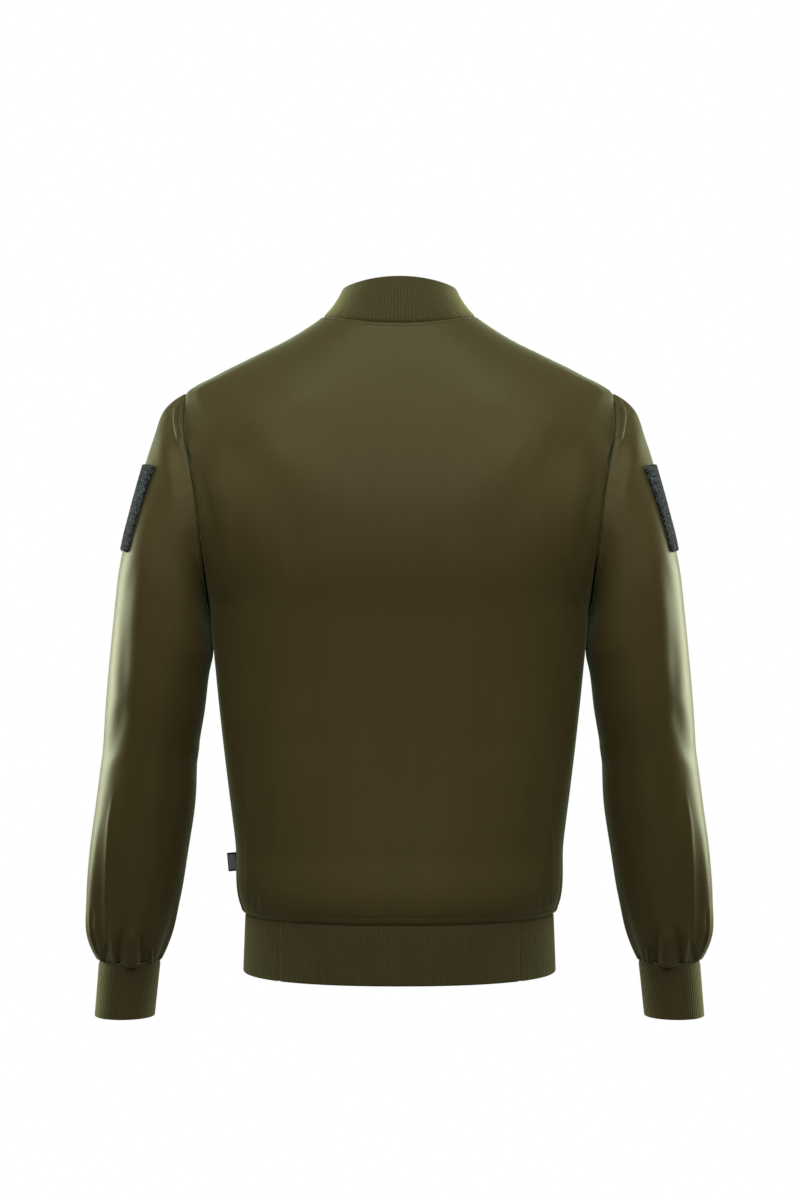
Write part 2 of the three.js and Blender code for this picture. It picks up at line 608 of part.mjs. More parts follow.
// The line down the middle of the front. at is as on a front panel, and -1 is the waistband's lower edge.
function zipLine(at) {
  if (at < 0) {
    const depth = mix(BAND.topDepth, BAND.bottomDepth, -at) - (RIB - CLOTH);
    return vec(0, -depth, mix(WAISTBAND_TOP, WAISTBAND_BOTTOM, -at));
  }
  const r = along(FRONT, at);
  return vec(0, -r.midY, r.midZ);
}

function zipFrame(at) {
  const e = 1e-3;
  const [low, high] = at < 0 ? [-1, 0] : [Math.max(at - e, 0), Math.min(at + e, 3)];
  const up = at < 0 ? vec(0, 0, 1) : zipLine(high).sub(zipLine(low)).normalize();
  return { place: zipLine(at), up, out: vec(0, -up.z, up.y) };
}

// A strip along the zip up to a height, between two widths and two depths from the cloth's face.
function zipStrip(from, to, left, right, front, back) {
  const heights = [from, -0.02, ...panelHeights().filter((at) => at < to - 0.02), to];
  const grid = (depth) =>
    heights.map((at) => {
      const f = zipFrame(at);
      const line = f.place.clone().addScaledVector(f.out, depth);
      return [vec(left, line.y, line.z), vec(right, line.y, line.z)];
    });
  return wall(grid(front), grid(back), false);
}

const SLIDER = { at: 2.9, half: 5.6, side: 4.5, lip: 3.35, face: 1.8, under: 0.65 };
const BRIDGE = { half: 4.3, leg: 1.2, side: 1.1, top: 5.4, bar: 1.2, slope: 1.2, sunk: 0.4 };
const PULL = { bar: 0.6, pivot: 3.0, hole: 5.6, holeSide: 1.6, side: 3.1, length: 27, tip: 3.6 };

// A flat outline in the slider's own frame, x across and y up the zip, given a thickness out of the cloth.
function plate(shape, back, front) {
  return new THREE.ExtrudeGeometry(shape, { depth: front - back, bevelEnabled: false, curveSegments: 6 })
    .translate(0, 0, back);
}

function rectangle(left, bottom, right, top) {
  const shape = new THREE.Shape();
  shape.moveTo(left, bottom);
  shape.lineTo(right, bottom);
  shape.lineTo(right, top);
  shape.lineTo(left, top);
  return shape;
}

function solid(geometry) {
  const source = geometry.index ? geometry.toNonIndexed() : geometry;
  const keys = new Map();
  const [vertices, ids] = [[], []];
  const position = source.attributes.position;
  for (let i = 0; i < position.count; i++) {
    const p = [position.getX(i), position.getY(i), position.getZ(i)];
    const key = p.map((v) => Math.round(v * 1e4)).join();
    if (!keys.has(key)) {
      keys.set(key, vertices.length / 3);
      vertices.push(...p);
    }
    ids.push(keys.get(key));
  }
  return new wasm.Manifold(
    new wasm.Mesh({ numProp: 3, vertProperties: new Float32Array(vertices), triVerts: new Uint32Array(ids) }),
  );
}

function geometryOf(made) {
  const mesh = made.getMesh();
  const geometry = new THREE.BufferGeometry();
  geometry.setAttribute("position", new THREE.Float32BufferAttribute(mesh.vertProperties, 3));
  geometry.setIndex([...mesh.triVerts]);
  geometry.computeVertexNormals();
  return geometry;
}

// Moves a piece made in the slider's frame onto the zip.
function onZip(geometry) {
  const f = zipFrame(SLIDER.at);
  return geometry.applyMatrix4(new THREE.Matrix4().makeBasis(vec(1, 0, 0), f.up, f.out).setPosition(f.place));
}

// The slider straddles the teeth and carries a bridge, under which the pull's bar turns.
function slider() {
  const s = SLIDER;
  const face = new THREE.Shape();
  face.moveTo(-s.side * 0.72, -s.half);
  face.lineTo(s.side * 0.72, -s.half);
  face.lineTo(s.side, -s.half * 0.3);
  face.lineTo(s.side, s.half * 0.55);
  face.lineTo(s.side * 0.45, s.half);
  face.lineTo(-s.side * 0.45, s.half);
  face.lineTo(-s.side, s.half * 0.55);
  face.lineTo(-s.side, -s.half * 0.3);
  const top = solid(plate(face, s.under, s.face));
  const lip = (side) => {
    const [near, far] = [s.lip, s.side].map((x) => side * x);
    const outline = rectangle(Math.min(near, far), -s.half * 0.3, Math.max(near, far), s.half * 0.5);
    return solid(plate(outline, ZIP.chainBack, s.under + 0.3));
  };
  const arch = new THREE.Shape();
  arch.moveTo(-BRIDGE.half, s.face - BRIDGE.sunk);
  arch.lineTo(BRIDGE.half, s.face - BRIDGE.sunk);
  arch.lineTo(BRIDGE.half, BRIDGE.top - BRIDGE.slope);
  arch.lineTo(BRIDGE.half - BRIDGE.slope, BRIDGE.top);
  arch.lineTo(BRIDGE.slope - BRIDGE.half, BRIDGE.top);
  arch.lineTo(-BRIDGE.half, BRIDGE.top - BRIDGE.slope);
  const inside = BRIDGE.half - BRIDGE.leg;
  arch.holes.push(rectangle(-inside, s.face, inside, BRIDGE.top - BRIDGE.bar));
  const bridge = new THREE.ExtrudeGeometry(arch, { depth: 2 * BRIDGE.side, bevelEnabled: false })
    .translate(0, 0, -BRIDGE.side)
    .applyMatrix4(new THREE.Matrix4().makeBasis(vec(0, 1, 0), vec(0, 0, 1), vec(1, 0, 0)));
  return onZip(geometryOf(top.add(lip(1)).add(lip(-1)).add(solid(bridge))));
}

// The pull hangs from the bridge: a flat tab with an eye, whose top bar lies in the bridge's window.
function pull() {
  const p = PULL;
  const shape = new THREE.Shape();
  shape.moveTo(-p.side, p.bar);
  shape.lineTo(-p.side, -p.hole - 1.5);
  shape.lineTo(-p.tip, -p.hole - 6);
  shape.lineTo(-p.tip, -p.length + p.tip);
  shape.absarc(0, -p.length + p.tip, p.tip, Math.PI, 2 * Math.PI, false);
  shape.lineTo(p.tip, -p.hole - 6);
  shape.lineTo(p.side, -p.hole - 1.5);
  shape.lineTo(p.side, p.bar);
  shape.holes.push(rectangle(-p.holeSide, -p.hole, p.holeSide, -p.bar));
  return onZip(plate(shape, p.pivot - p.bar, p.pivot + p.bar));
}

// The jacket

const finish = (colour, roughness, metalness = 0) =>
  new THREE.MeshStandardMaterial({ color: colour, roughness, metalness });
const NYLON = finish(0x4f4a2b, 0.42);
const KNIT = finish(0x5d5a35, 0.9);
const LOOP = finish(0x39404c, 0.95);
const TAPE = finish(0x3f3d26, 0.85);
const METAL = finish(0x2b2c2a, 0.4, 0.8);
const WOVEN = finish(0x15161a, 0.8);

const jacket = new THREE.Group();
const add = (name, geometry, material) => {
  const mesh = new THREE.Mesh(geometry, material);
  mesh.name = name;
  jacket.add(mesh);
};

add("back", backPanel(), NYLON);
add("collar", collar(), KNIT);
add("waistband", waistband(), KNIT);
for (const [hand, side] of [["left", 1], ["right", -1]]) {
  add(`front_${hand}`, frontPanel(side), NYLON);
  add(`sleeve_${hand}`, sleeve(side), NYLON);
  add(`cuff_${hand}`, cuff(side), KNIT);
  add(`loop_panel_${hand}`, loopPanel(side), LOOP);
  const [near, far] = [ZIP.tapeInner, ZIP.tapeOuter].map((x) => side * x);
  const tapeFront = ZIP.chainBack - SEAM_GAP;
  const tapeBack = tapeFront - ZIP.tapeThickness;
  const tape = zipStrip(-1, ZIP.tapeTop, Math.min(near, far), Math.max(near, far), tapeFront, tapeBack);
  add(`zip_tape_${hand}`, tape, TAPE);
}
add("side_label", sideLabel(), WOVEN);
const { chainHalf, chainFront, chainBack, chainBottom } = ZIP;
const chain = zipStrip(chainBottom, SLIDER.at + 0.01, -chainHalf, chainHalf, chainFront, chainBack);
add("zip_teeth", chain, METAL);
add("zip_slider", slider(), METAL);
add("zip_pull", pull(), METAL);

export default jacket;
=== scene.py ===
# %% [markdown]
# # An olive bomber jacket, seen from behind
# The imported CAD model gives every piece its place and size. This script dresses it: each panel of cloth
# becomes a thin shell on the form of its solid, with listed folds, seams and stitches, and each
# finish becomes a material made of nodes.

import math

import bmesh
import bpy
import numpy as np
from mathutils import Matrix, Vector
from mathutils.bvhtree import BVHTree


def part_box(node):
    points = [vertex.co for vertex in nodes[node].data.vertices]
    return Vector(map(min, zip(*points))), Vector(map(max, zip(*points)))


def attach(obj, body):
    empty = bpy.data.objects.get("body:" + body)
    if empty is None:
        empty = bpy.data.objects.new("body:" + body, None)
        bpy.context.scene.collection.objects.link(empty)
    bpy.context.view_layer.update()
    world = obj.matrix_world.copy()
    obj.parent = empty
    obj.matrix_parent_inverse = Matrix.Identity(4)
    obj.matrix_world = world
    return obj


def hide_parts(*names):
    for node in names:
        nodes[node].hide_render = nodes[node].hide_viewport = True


MM = 0.001
SIDES = ((1, "left"), (-1, "right"))
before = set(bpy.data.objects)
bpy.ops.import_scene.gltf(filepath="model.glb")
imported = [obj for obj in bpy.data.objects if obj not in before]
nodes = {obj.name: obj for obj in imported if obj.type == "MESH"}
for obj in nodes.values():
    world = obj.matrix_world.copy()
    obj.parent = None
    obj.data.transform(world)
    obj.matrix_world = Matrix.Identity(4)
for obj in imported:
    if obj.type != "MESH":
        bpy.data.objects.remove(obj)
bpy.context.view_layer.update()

# %% [markdown]
# ## Camera
# The jacket was photographed square from behind, at about the height of its middle, from 2.6 metres.
# A 78 mm lens then gives one pixel of the photograph to each millimetre at the jacket's middle.

# %% Camera
CAMERA_PLACE = Vector((-0.0005, 2.6, -0.283))
CAMERA_LENS = 78
camera_data = bpy.data.cameras.new("studio_camera")
camera_data.lens = CAMERA_LENS
camera = bpy.data.objects.new("studio_camera", camera_data)
camera.location = CAMERA_PLACE
camera.rotation_euler = (math.pi / 2, 0, math.pi)
bpy.context.collection.objects.link(camera)
bpy.context.scene.camera = camera
bpy.context.scene.view_settings.view_transform = "Standard"

# %% [markdown]
# ## Studio
# The background is plain white. Two warm lights stand high on the camera's side, one for each shoulder,
# and a cooler one hangs over the jacket, so the shoulders are the lightest part of the back. A square one
# on each side, beyond the jacket and at the height of the upper arms, gives the pale rims along the
# sleeves. A broad light over the camera and a weak one opposite fill in the rest. The floor is dark to
# the jacket, and so the hem is its darkest part.

# %% Studio
WHITE = (1, 1, 1, 1)
FLOOR_HEIGHT = -1.05
FLOOR_HALF = 7.0
FILL = 0.27
FILL_COLOUR = (1, 0.98, 0.72, 1)
FLOOR_COLOUR = (0.12, 0.12, 0.12, 1)


def only_seen(tree, seen_shader, other_shader, output):
    """What the camera sees is one shader, and what lights the jacket is another."""
    path = tree.nodes.new("ShaderNodeLightPath")
    mix = tree.nodes.new("ShaderNodeMixShader")
    tree.links.new(path.outputs["Is Camera Ray"], mix.inputs[0])
    tree.links.new(other_shader, mix.inputs[1])
    tree.links.new(seen_shader, mix.inputs[2])
    tree.links.new(mix.outputs[0], output.inputs["Surface"])


world = bpy.data.worlds.new("white_studio")
bpy.context.scene.world = world
world.use_nodes = True
world_tree = world.node_tree
background = world_tree.nodes["Background"]
background.inputs["Color"].default_value = FILL_COLOUR
background.inputs["Strength"].default_value = FILL
white_wall = world_tree.nodes.new("ShaderNodeBackground")
white_wall.inputs["Color"].default_value = WHITE
white_wall.inputs["Strength"].default_value = 1.0
world_output = world_tree.nodes["World Output"]
only_seen(world_tree, white_wall.outputs[0], background.outputs[0], world_output)

bm = bmesh.new()
bmesh.ops.create_grid(bm, x_segments=1, y_segments=1, size=FLOOR_HALF)
bmesh.ops.translate(bm, verts=bm.verts, vec=(0, 0, FLOOR_HEIGHT))
floor_data = bpy.data.meshes.new("floor")
bm.to_mesh(floor_data)
bm.free()
floor = bpy.data.objects.new("floor", floor_data)
bpy.context.collection.objects.link(floor)
floor_paint = bpy.data.materials.new("floor_paint")
floor_paint.use_nodes = True
floor_tree = floor_paint.node_tree
floor_shader = floor_tree.nodes["Principled BSDF"]
floor_shader.inputs["Base Color"].default_value = FLOOR_COLOUR
floor_glow = floor_tree.nodes.new("ShaderNodeEmission")
floor_glow.inputs["Color"].default_value = WHITE
floor_output = floor_tree.nodes["Material Output"]
only_seen(floor_tree, floor_glow.outputs[0], floor_shader.outputs[0], floor_output)
floor_data.materials.append(floor_paint)


def softbox(name, place, aim, width, height, power, colour=(1, 1, 1)):
    """A rectangular light that faces a point."""
    data = bpy.data.lights.new(name, "AREA")
    data.shape = "RECTANGLE"
    data.size = width
    data.size_y = height
    data.energy = power
    data.color = colour
    lamp = bpy.data.objects.new(name, data)
    lamp.location = place
    lamp.rotation_euler = (Vector(aim) - Vector(place)).to_track_quat("-Z", "Y").to_euler()
    bpy.context.collection.objects.link(lamp)


softbox("overhead_light", (0, 0.75, 1.5), (0, 0.05, -0.1), 1.6, 0.9, 14, (0.75, 1, 0.9))
softbox("camera_light", (0, 3.0, 0.95), (0, 0.1, -0.25), 2.6, 1.2, 17, (0.84, 0.84, 1))
softbox("front_light", (0, -2.4, 0.6), (0, 0, -0.3), 2.4, 1.6, 6)
for side in (-1, 1):
    place, aim = (side * 1.15, 1.45, 1.15), (side * 0.12, 0.1, -0.12)
    softbox(f"high_light_{side}", place, aim, 0.8, 0.7, 9, (1, 0.77, 0.5))
    place, aim = (side * 1.35, -0.68, -0.26), (side * 0.27, 0, -0.32)
    softbox(f"rim_light_{side}", place, aim, 0.7, 0.7, 20, (0.92, 1, 0.74))

# %% [markdown]
# ## Reading a solid as rows of points
# Each panel of the CAD model is a wall with an outer and an inner side. A tailor thinks of the outer side
# alone, as a sheet with a warp and a weft, so the outer side is cut free along its sharp edges and read as
# rows and columns of points. Walking up its triangles like the rungs of a ladder gives the rows in order.

# %% The outer side of a solid
SHARP = math.radians(50)
MERGE = 0.01 * MM


def outer_side(name, facing):
    """A bmesh of a solid's outer side alone: the larger one, or of two alike the one facing that way."""
    bm = bmesh.new()
    bm.from_mesh(nodes[name].data)
    bmesh.ops.remove_doubles(bm, verts=bm.verts, dist=MERGE)
    bm.faces.ensure_lookup_table()
    waiting = set(bm.faces)
    sides = []
    for first in bm.faces:
        if first not in waiting:
            continue
        waiting.remove(first)
        side = [first]
        for face in side:
            for edge in face.edges:
                if edge.calc_face_angle(math.pi) > SHARP:
                    continue
                found = [f for f in edge.link_faces if f in waiting]
                waiting.difference_update(found)
                side.extend(found)
        sides.append(side)
    sides.sort(key=lambda side: sum(face.calc_area() for face in side), reverse=True)
    if facing:
        ahead = Vector(facing)
        sides[:2] = sorted(
            sides[:2], key=lambda side: sum(f.calc_area() * f.normal.dot(ahead) for f in side), reverse=True
        )
    inner = {vert for face in sides[1] for vert in face.verts}
    outer = {face for face in sides[0] if not inner.intersection(face.verts)}
    bmesh.ops.delete(bm, geom=[face for face in bm.faces if face not in outer], context="FACES")
    return bm


def row_above(row, start, closed):
    """The row of points above another, climbed along the triangles between them."""
    ahead = row[1:] + (row[:1] if closed else [])
    lower, upper = row[0], start
    above = [start]
    used = set()
    while True:
        faces = [f for f in lower.link_faces if upper in f.verts and f not in used]
        if closed and not used:
            beside = {e.other_vert(row[1]) for e in row[1].link_edges} | {row[1]}
            faces = [f for f in faces if any(v in beside and v not in (lower, upper) for v in f.verts)]
        if not faces:
            break
        used.add(faces[0])
        third = next(v for v in faces[0].verts if v not in (lower, upper))
        if ahead and third == ahead[0]:
            lower = ahead.pop(0)
        else:
            above.append(third)
            upper = third
        if closed and upper == start and not ahead:
            break
    return above[:-1] if closed and above[-1] == start else above


def row_length(bm, rim, shape):
    """How many points a row has, from the size of the rim: 0 on a tube, and on a sheet the larger or
    smaller of the two numbers that the points and their rim allow."""
    if shape == "tube":
        return 0
    both = (len(rim) + 4) / 2
    apart = math.sqrt(both**2 - 4 * len(bm.verts))
    return round((both + (apart if shape == "wide" else -apart)) / 2)


def points_of(name, first, onward, shape, facing=None, trimmed=None):
    """A solid's outer side as an array of rows. The first point has the lowest value of first, the
    walk sets off to where onward is lower, and shape is tube, wide or tall. Faces with a trimmed point
    are left out."""
    bm = outer_side(name, facing)
    if trimmed:
        cut = [f for f in bm.faces if any(trimmed(v.co) for v in f.verts)]
        bmesh.ops.delete(bm, geom=cut, context="FACES")
    rim = [v for v in bm.verts if v.is_boundary]
    across = row_length(bm, rim, shape)
    origin = min(rim, key=lambda v: first(v.co))

    def beside(vert):
        return [e.other_vert(vert) for e in vert.link_edges if e.is_boundary]

    second = min(beside(origin), key=lambda v: onward(v.co))
    row = [origin, second]
    while across == 0 or len(row) < across:
        onwards = [v for v in beside(row[-1]) if v != row[-2]]
        if not onwards or onwards[0] == origin:
            break
        row.append(onwards[0])
    rows = [row]
    done = set(row)
    while True:
        last = rows[-1]
        along = (last[1].co - last[-1].co).normalized()
        free = [e.other_vert(last[0]) for e in last[0].link_edges]
        free = [v for v in free if v not in done]
        if across:
            free = [v for v in free if v.is_boundary and v in beside(last[0])]
        if not free:
            break
        start = min(free, key=lambda v: abs((v.co - last[0].co).normalized().dot(along)))
        rows.append(row_above(rows[-1], start, across == 0))
        done.update(rows[-1])
    assert len({len(row) for row in rows}) == 1, (name, [len(row) for row in rows])
    points = np.array([[tuple(v.co) for v in row] for row in rows])
    bm.free()
    return points


# %% [markdown]
# ## Finer points
# The solid's points are 5 to 60 mm apart. A smooth curve through them, first up the piece and then across
# it, gives points 3 to 4 mm apart, and closer beside the seams, where the cloth turns in and is gathered.

# %% Finer points
SEAM_STEPS = (0.0, 0.6, 1.3, 2.2, 3.2, 4.0, 4.8, 5.8, 6.8, 7.6, 8.4, 9.4)
GATHER_SPACING = 1.7 * MM
PACE_READS = 2001
TUCK_ALONG = 1.4 * MM
TUCK_IN = 2.0 * MM
WAVES = 4096
FIRST_WAVE = 1000


def lengths(points):
    """How far along each point of the first axis is, as a mean over the others."""
    steps = np.linalg.norm(np.diff(points, axis=0), axis=-1)
    return np.concatenate([[0], steps.reshape(len(steps), -1).mean(axis=1).cumsum()])


def curved(points, wanted):
    """Smooth curves through points along the first axis, read at the wanted lengths."""
    knots = lengths(points)
    slopes = np.gradient(points, knots, axis=0, edge_order=min(2, len(knots) - 1))
    i = np.clip(np.searchsorted(knots, wanted, side="right") - 1, 0, len(knots) - 2)
    width = (knots[i + 1] - knots[i])[:, None, None]
    t = (wanted - knots[i])[:, None, None] / width
    rise = t * t * (3 - 2 * t)
    leave = t * (1 - t) ** 2 * width
    arrive = t * t * (t - 1) * width
    return points[i] * (1 - rise) + points[i + 1] * rise + leave * slopes[i] + arrive * slopes[i + 1]


def paces(length, spacing, dense=(0, 0)):
    """Lengths at an even spacing, with the seam's steps at both ends. The first and last dense metres have
    the spacing of gathers."""
    near = np.array(SEAM_STEPS) * MM
    first, last = near[-1], length - near[-1]
    fine = np.linspace(first, last, PACE_READS)
    pace = np.where((fine < dense[0]) | (fine > length - dense[1]), GATHER_SPACING, spacing)
    counted = np.concatenate([[0], (np.diff(fine) / pace[1:]).cumsum()])
    inner = np.interp(np.linspace(0, counted[-1], max(2, round(counted[-1]) + 1)), counted, fine)
    return np.concatenate([near[:-1], inner, length - near[:-1][::-1]])


def around(points):
    """A tube's rows with more points before and after, so that a curve runs on over its seam."""
    return np.concatenate([points[:, -3:], points, points[:, :4]], axis=1)


def finer(points, spacing=None, closed=False, across=None, up=None, dense_up=(0, 0), dense_across=(0, 0)):
    """Rows and columns of points at about the spacing, or at shares up and across. A tube needs those
    across."""
    height = lengths(points)[-1]
    points = curved(points, paces(height, spacing, dense_up) if up is None else up * height)
    if not closed:
        swapped = points.transpose(1, 0, 2)
        width = lengths(swapped)[-1]
        wanted = paces(width, spacing, dense_across) if across is None else across * width
        return curved(swapped, wanted).transpose(1, 0, 2)
    swapped = around(points).transpose(1, 0, 2)
    knots = lengths(swapped)
    first, last = knots[3], knots[-4]
    return curved(swapped, first + across * (last - first)).transpose(1, 0, 2)


def outwards(points, closed=False):
    """Unit normals that point away from the middle of each row."""
    if closed:
        wrapped = np.concatenate([points[:, -2:-1], points, points[:, 1:2]], axis=1)
        across = np.gradient(wrapped, axis=1)[:, 1:-1]
    else:
        across = np.gradient(points, axis=1)
    normal = np.cross(across, np.gradient(points, axis=0))
    normal /= np.maximum(np.linalg.norm(normal, axis=-1, keepdims=True), 1e-12)
    middle = points.mean(axis=1, keepdims=True)
    facing = np.sum(normal * (points - middle), axis=-1).mean()
    return normal if facing > 0 else -normal


def from_first(points, axis):
    """How far each point is along its column (axis 0) or its row (axis 1)."""
    steps = np.linalg.norm(np.diff(points, axis=axis), axis=-1)
    return np.insert(steps.cumsum(axis=axis), 0, 0, axis=axis)


def from_edges(points):
    """How far each point is from the sheet's four edges, along the cloth: left, right, bottom and top."""
    sideways = from_first(points, 1)
    upwards = from_first(points, 0)
    return sideways, sideways[:, -1:] - sideways, upwards, upwards[-1:] - upwards


def sewn_in(points, normal, first, second, third):
    """Draws a sewn edge's row on behind its neighbour, as a seam allowance."""
    ahead = points[second] - points[third]
    ahead = ahead / np.linalg.norm(ahead, axis=-1, keepdims=True)
    points[first] = points[second] + TUCK_ALONG * ahead - TUCK_IN * normal[second]


def eased(t):
    """A smooth step from 0 to 1."""
    t = np.clip(t, 0, 1)
    return t * t * (3 - 2 * t)


def wander(along, pitch, seed):
    """Uneven smooth waves of about a pitch, from -1 to 1, the same on each run."""
    draws = np.random.default_rng(seed).uniform(-1, 1, WAVES)
    place = np.asarray(along) / pitch + FIRST_WAVE
    low = np.floor(place).astype(int)
    t = eased(place - low)
    return draws[low % WAVES] * (1 - t) + draws[(low + 1) % WAVES] * t


# %% [markdown]
# ## Folds listed one by one
# A fold is a line drawn on the cloth as it is seen from behind, in millimetres to the side of the middle
# and above the neck seam, with a width and a depth. A trough has a negative depth. A crisp fold has a
# sharper middle. A fold fades at its ends, and the left and the right of the jacket have the same ones.

# %% Folds
FOLD_FADE = 0.3
FOLD_NARROW = 0.55
FOLD_CRISP = 0.6


def seen(points):
    """Where the camera sees points, in millimetres beside the middle and above the neck seam."""
    scale = CAMERA_PLACE.y / (CAMERA_PLACE.y - points[..., 1])
    height = (points[..., 2] - CAMERA_PLACE.z) * scale + CAMERA_PLACE.z
    return np.stack([np.abs(points[..., 0]) * scale, height], axis=-1) / MM


def fold_push(flat, folds):
    """How far a set of folds pushes points out, in metres. flat has their places on the drawing."""
    push = np.zeros(flat.shape[:-1])
    for line, width, depth, crisp in folds:
        line = np.array(line, float)
        steps = np.linalg.norm(np.diff(line, axis=0), axis=1)
        starts = np.concatenate([[0], steps.cumsum()])
        nearest = np.full(push.shape, np.inf)
        place = np.zeros(push.shape)
        for a, b, step, start in zip(line[:-1], line[1:], steps, starts):
            t = np.clip(((flat - a) @ (b - a)) / step**2, 0, 1)
            gap = np.linalg.norm(flat - (a + t[..., None] * (b - a)), axis=-1)
            closer = gap < nearest
            nearest = np.where(closer, gap, nearest)
            place = np.where(closer, (start + t * step) / starts[-1], place)
        ends = eased(np.minimum(place, 1 - place) / FOLD_FADE)
        reach = nearest / (width * (FOLD_NARROW + (1 - FOLD_NARROW) * ends))
        profile = np.exp(-reach * (FOLD_CRISP + reach)) if crisp else np.exp(-reach * reach)
        push += depth * MM * ends * profile
    return push


# %% [markdown]
# ## From points to a piece of cloth
# A grid of bmesh faces takes the points, with a UV map in metres along the cloth, so that a weave follows
# its folds. A Solidify modifier gives the sheet its thickness on the inner side. Every finished piece
# rides on the jacket's body.

# %% A finished piece


def finished(name, bm, material, smooth=True):
    """An object from a bmesh, in its material, on the jacket's body."""
    for face in bm.faces:
        face.smooth = smooth
    mesh = bpy.data.meshes.new(name)
    bm.to_mesh(mesh)
    bm.free()
    mesh.materials.append(material)
    piece = bpy.data.objects.new(name, mesh)
    bpy.context.collection.objects.link(piece)
    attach(piece, "jacket")
    return piece


# %% A sheet from points


def sheet_object(name, points, material, thickness, closed=False, uv=None):
    """A thin shell on rows of points, which replaces nothing yet."""
    rows, columns = points.shape[:2]
    bm = bmesh.new()
    bmesh.ops.create_grid(bm, x_segments=columns - 1, y_segments=rows - 1, size=0.5)
    bm.verts.ensure_lookup_table()
    left, _, low, _ = from_edges(points)
    if uv is not None:
        left, low = uv
    places = {}
    for vert in bm.verts:
        column = round((vert.co.x + 0.5) * (columns - 1))
        row = round((vert.co.y + 0.5) * (rows - 1))
        places[vert] = (row, column)
    layer = bm.loops.layers.uv.new("cloth")
    for face in bm.faces:
        for loop in face.loops:
            place = places[loop.vert]
            loop[layer].uv = (left[place], low[place])
    for vert, place in places.items():
        vert.co = points[place]
    if closed:
        bmesh.ops.remove_doubles(bm, verts=bm.verts, dist=MERGE)
    bm.normal_update()
    middle = Vector(points.reshape(-1, 3).mean(axis=0))
    if sum(face.normal.dot(face.calc_center_median() - middle) for face in bm.faces) < 0:
        bmesh.ops.reverse_faces(bm, faces=bm.faces)
    piece = finished(name, bm, material)
    wall = piece.modifiers.new("cloth_thickness", "SOLIDIFY")
    wall.thickness = thickness
    wall.offset = -1
    wall.use_even_offset = False
    print(name, "has", rows, "rows of", columns, "points")
    return piece


# %% [markdown]
# ## Materials
# Every finish starts from the Principled shader. What changes over the surface, such as the weave, the knit
# or the speckle of the loop pile, comes from nodes that read the cloth's own UV map, or the place on the
# jacket.

# %% Material helpers


def new_material(name, **values):
    """A Principled material with its even values set on the sockets."""
    material = bpy.data.materials.new(name)
    material.use_nodes = True
    shader = material.node_tree.nodes["Principled BSDF"]
    for key, value in values.items():
        shader.inputs[key.replace("_", " ").title().replace("Ior", "IOR")].default_value = value
    return material, material.node_tree, shader


def add(tree, kind, inputs=(), **settings):
    """A node with its settings, and its inputs linked or filled."""
    node = tree.nodes.new(kind)
    for key, value in settings.items():
        setattr(node, key, value)
    for key, value in dict(inputs).items():
        if isinstance(value, bpy.types.NodeSocket):
            tree.links.new(value, node.inputs[key])
        else:
            node.inputs[key].default_value = value
    return node


def maths(tree, operation, *values):
    """The result of a Math node, with its inputs linked or filled in order."""
    return add(tree, "ShaderNodeMath", enumerate(values), operation=operation).outputs[0]


def ranged(tree, value, low, high, to_low=0.0, to_high=1.0):
    """A value moved from one range to another."""
    ranges = {"From Min": low, "From Max": high, "To Min": to_low, "To Max": to_high}
    return add(tree, "ShaderNodeMapRange", {"Value": value, **ranges}).outputs[0]


def split(tree, vector):
    """The three parts of a vector."""
    return add(tree, "ShaderNodeSeparateXYZ", {0: vector}).outputs


def cloth_place(tree):
    """The place on the cloth's own map."""
    return add(tree, "ShaderNodeUVMap", uv_map="cloth").outputs[0]


def jacket_place(tree):
    """The place on the jacket."""
    return add(tree, "ShaderNodeTexCoord").outputs["Object"]


def blended(tree, factor, first, second):
    """A colour between two, by a factor."""
    return add(tree, "ShaderNodeMix", {"Factor": factor, 6: first, 7: second}, data_type="RGBA").outputs[2]


def shades(tree, value, first, last, between=()):
    """A colour from first to last by a value, past others at their places between."""
    node = add(tree, "ShaderNodeValToRGB", {0: value})
    stops = node.color_ramp.elements
    stops[0].color = first
    stops[1].color = last
    for place, colour in between:
        stops.new(place).color = colour
    return node.outputs[0]


def coloured(tree, shader, colour):
    """Gives a shader its base colour."""
    tree.links.new(colour, shader.inputs["Base Color"])


def bumped(tree, shader, height, strength, distance, invert=False):
    """Gives a shader a fine relief."""
    relief = {"Height": height, "Strength": strength, "Distance": distance}
    node = add(tree, "ShaderNodeBump", relief, invert=invert)
    tree.links.new(node.outputs[0], shader.inputs["Normal"])


def group(name, ins, outs):
    """An empty node group with named inputs and outputs."""
    tree = bpy.data.node_groups.new(name, "ShaderNodeTree")
    for label, kind, value in ins:
        socket = tree.interface.new_socket(label, in_out="INPUT", socket_type=kind)
        if value is not None:
            socket.default_value = value
    for label, kind in outs:
        tree.interface.new_socket(label, in_out="OUTPUT", socket_type=kind)
    return tree, tree.nodes.new("NodeGroupInput"), tree.nodes.new("NodeGroupOutput")


FLOAT = "NodeSocketFloat"
VECTOR = "NodeSocketVector"

# %% [markdown]
# ### Plain weave
# Nylon is woven plainly, one thread over and one under. Two waves, across and along, make a small relief
# of threads. Slow noise, stretched along the warp, gives the streaks that satin cloth shows.

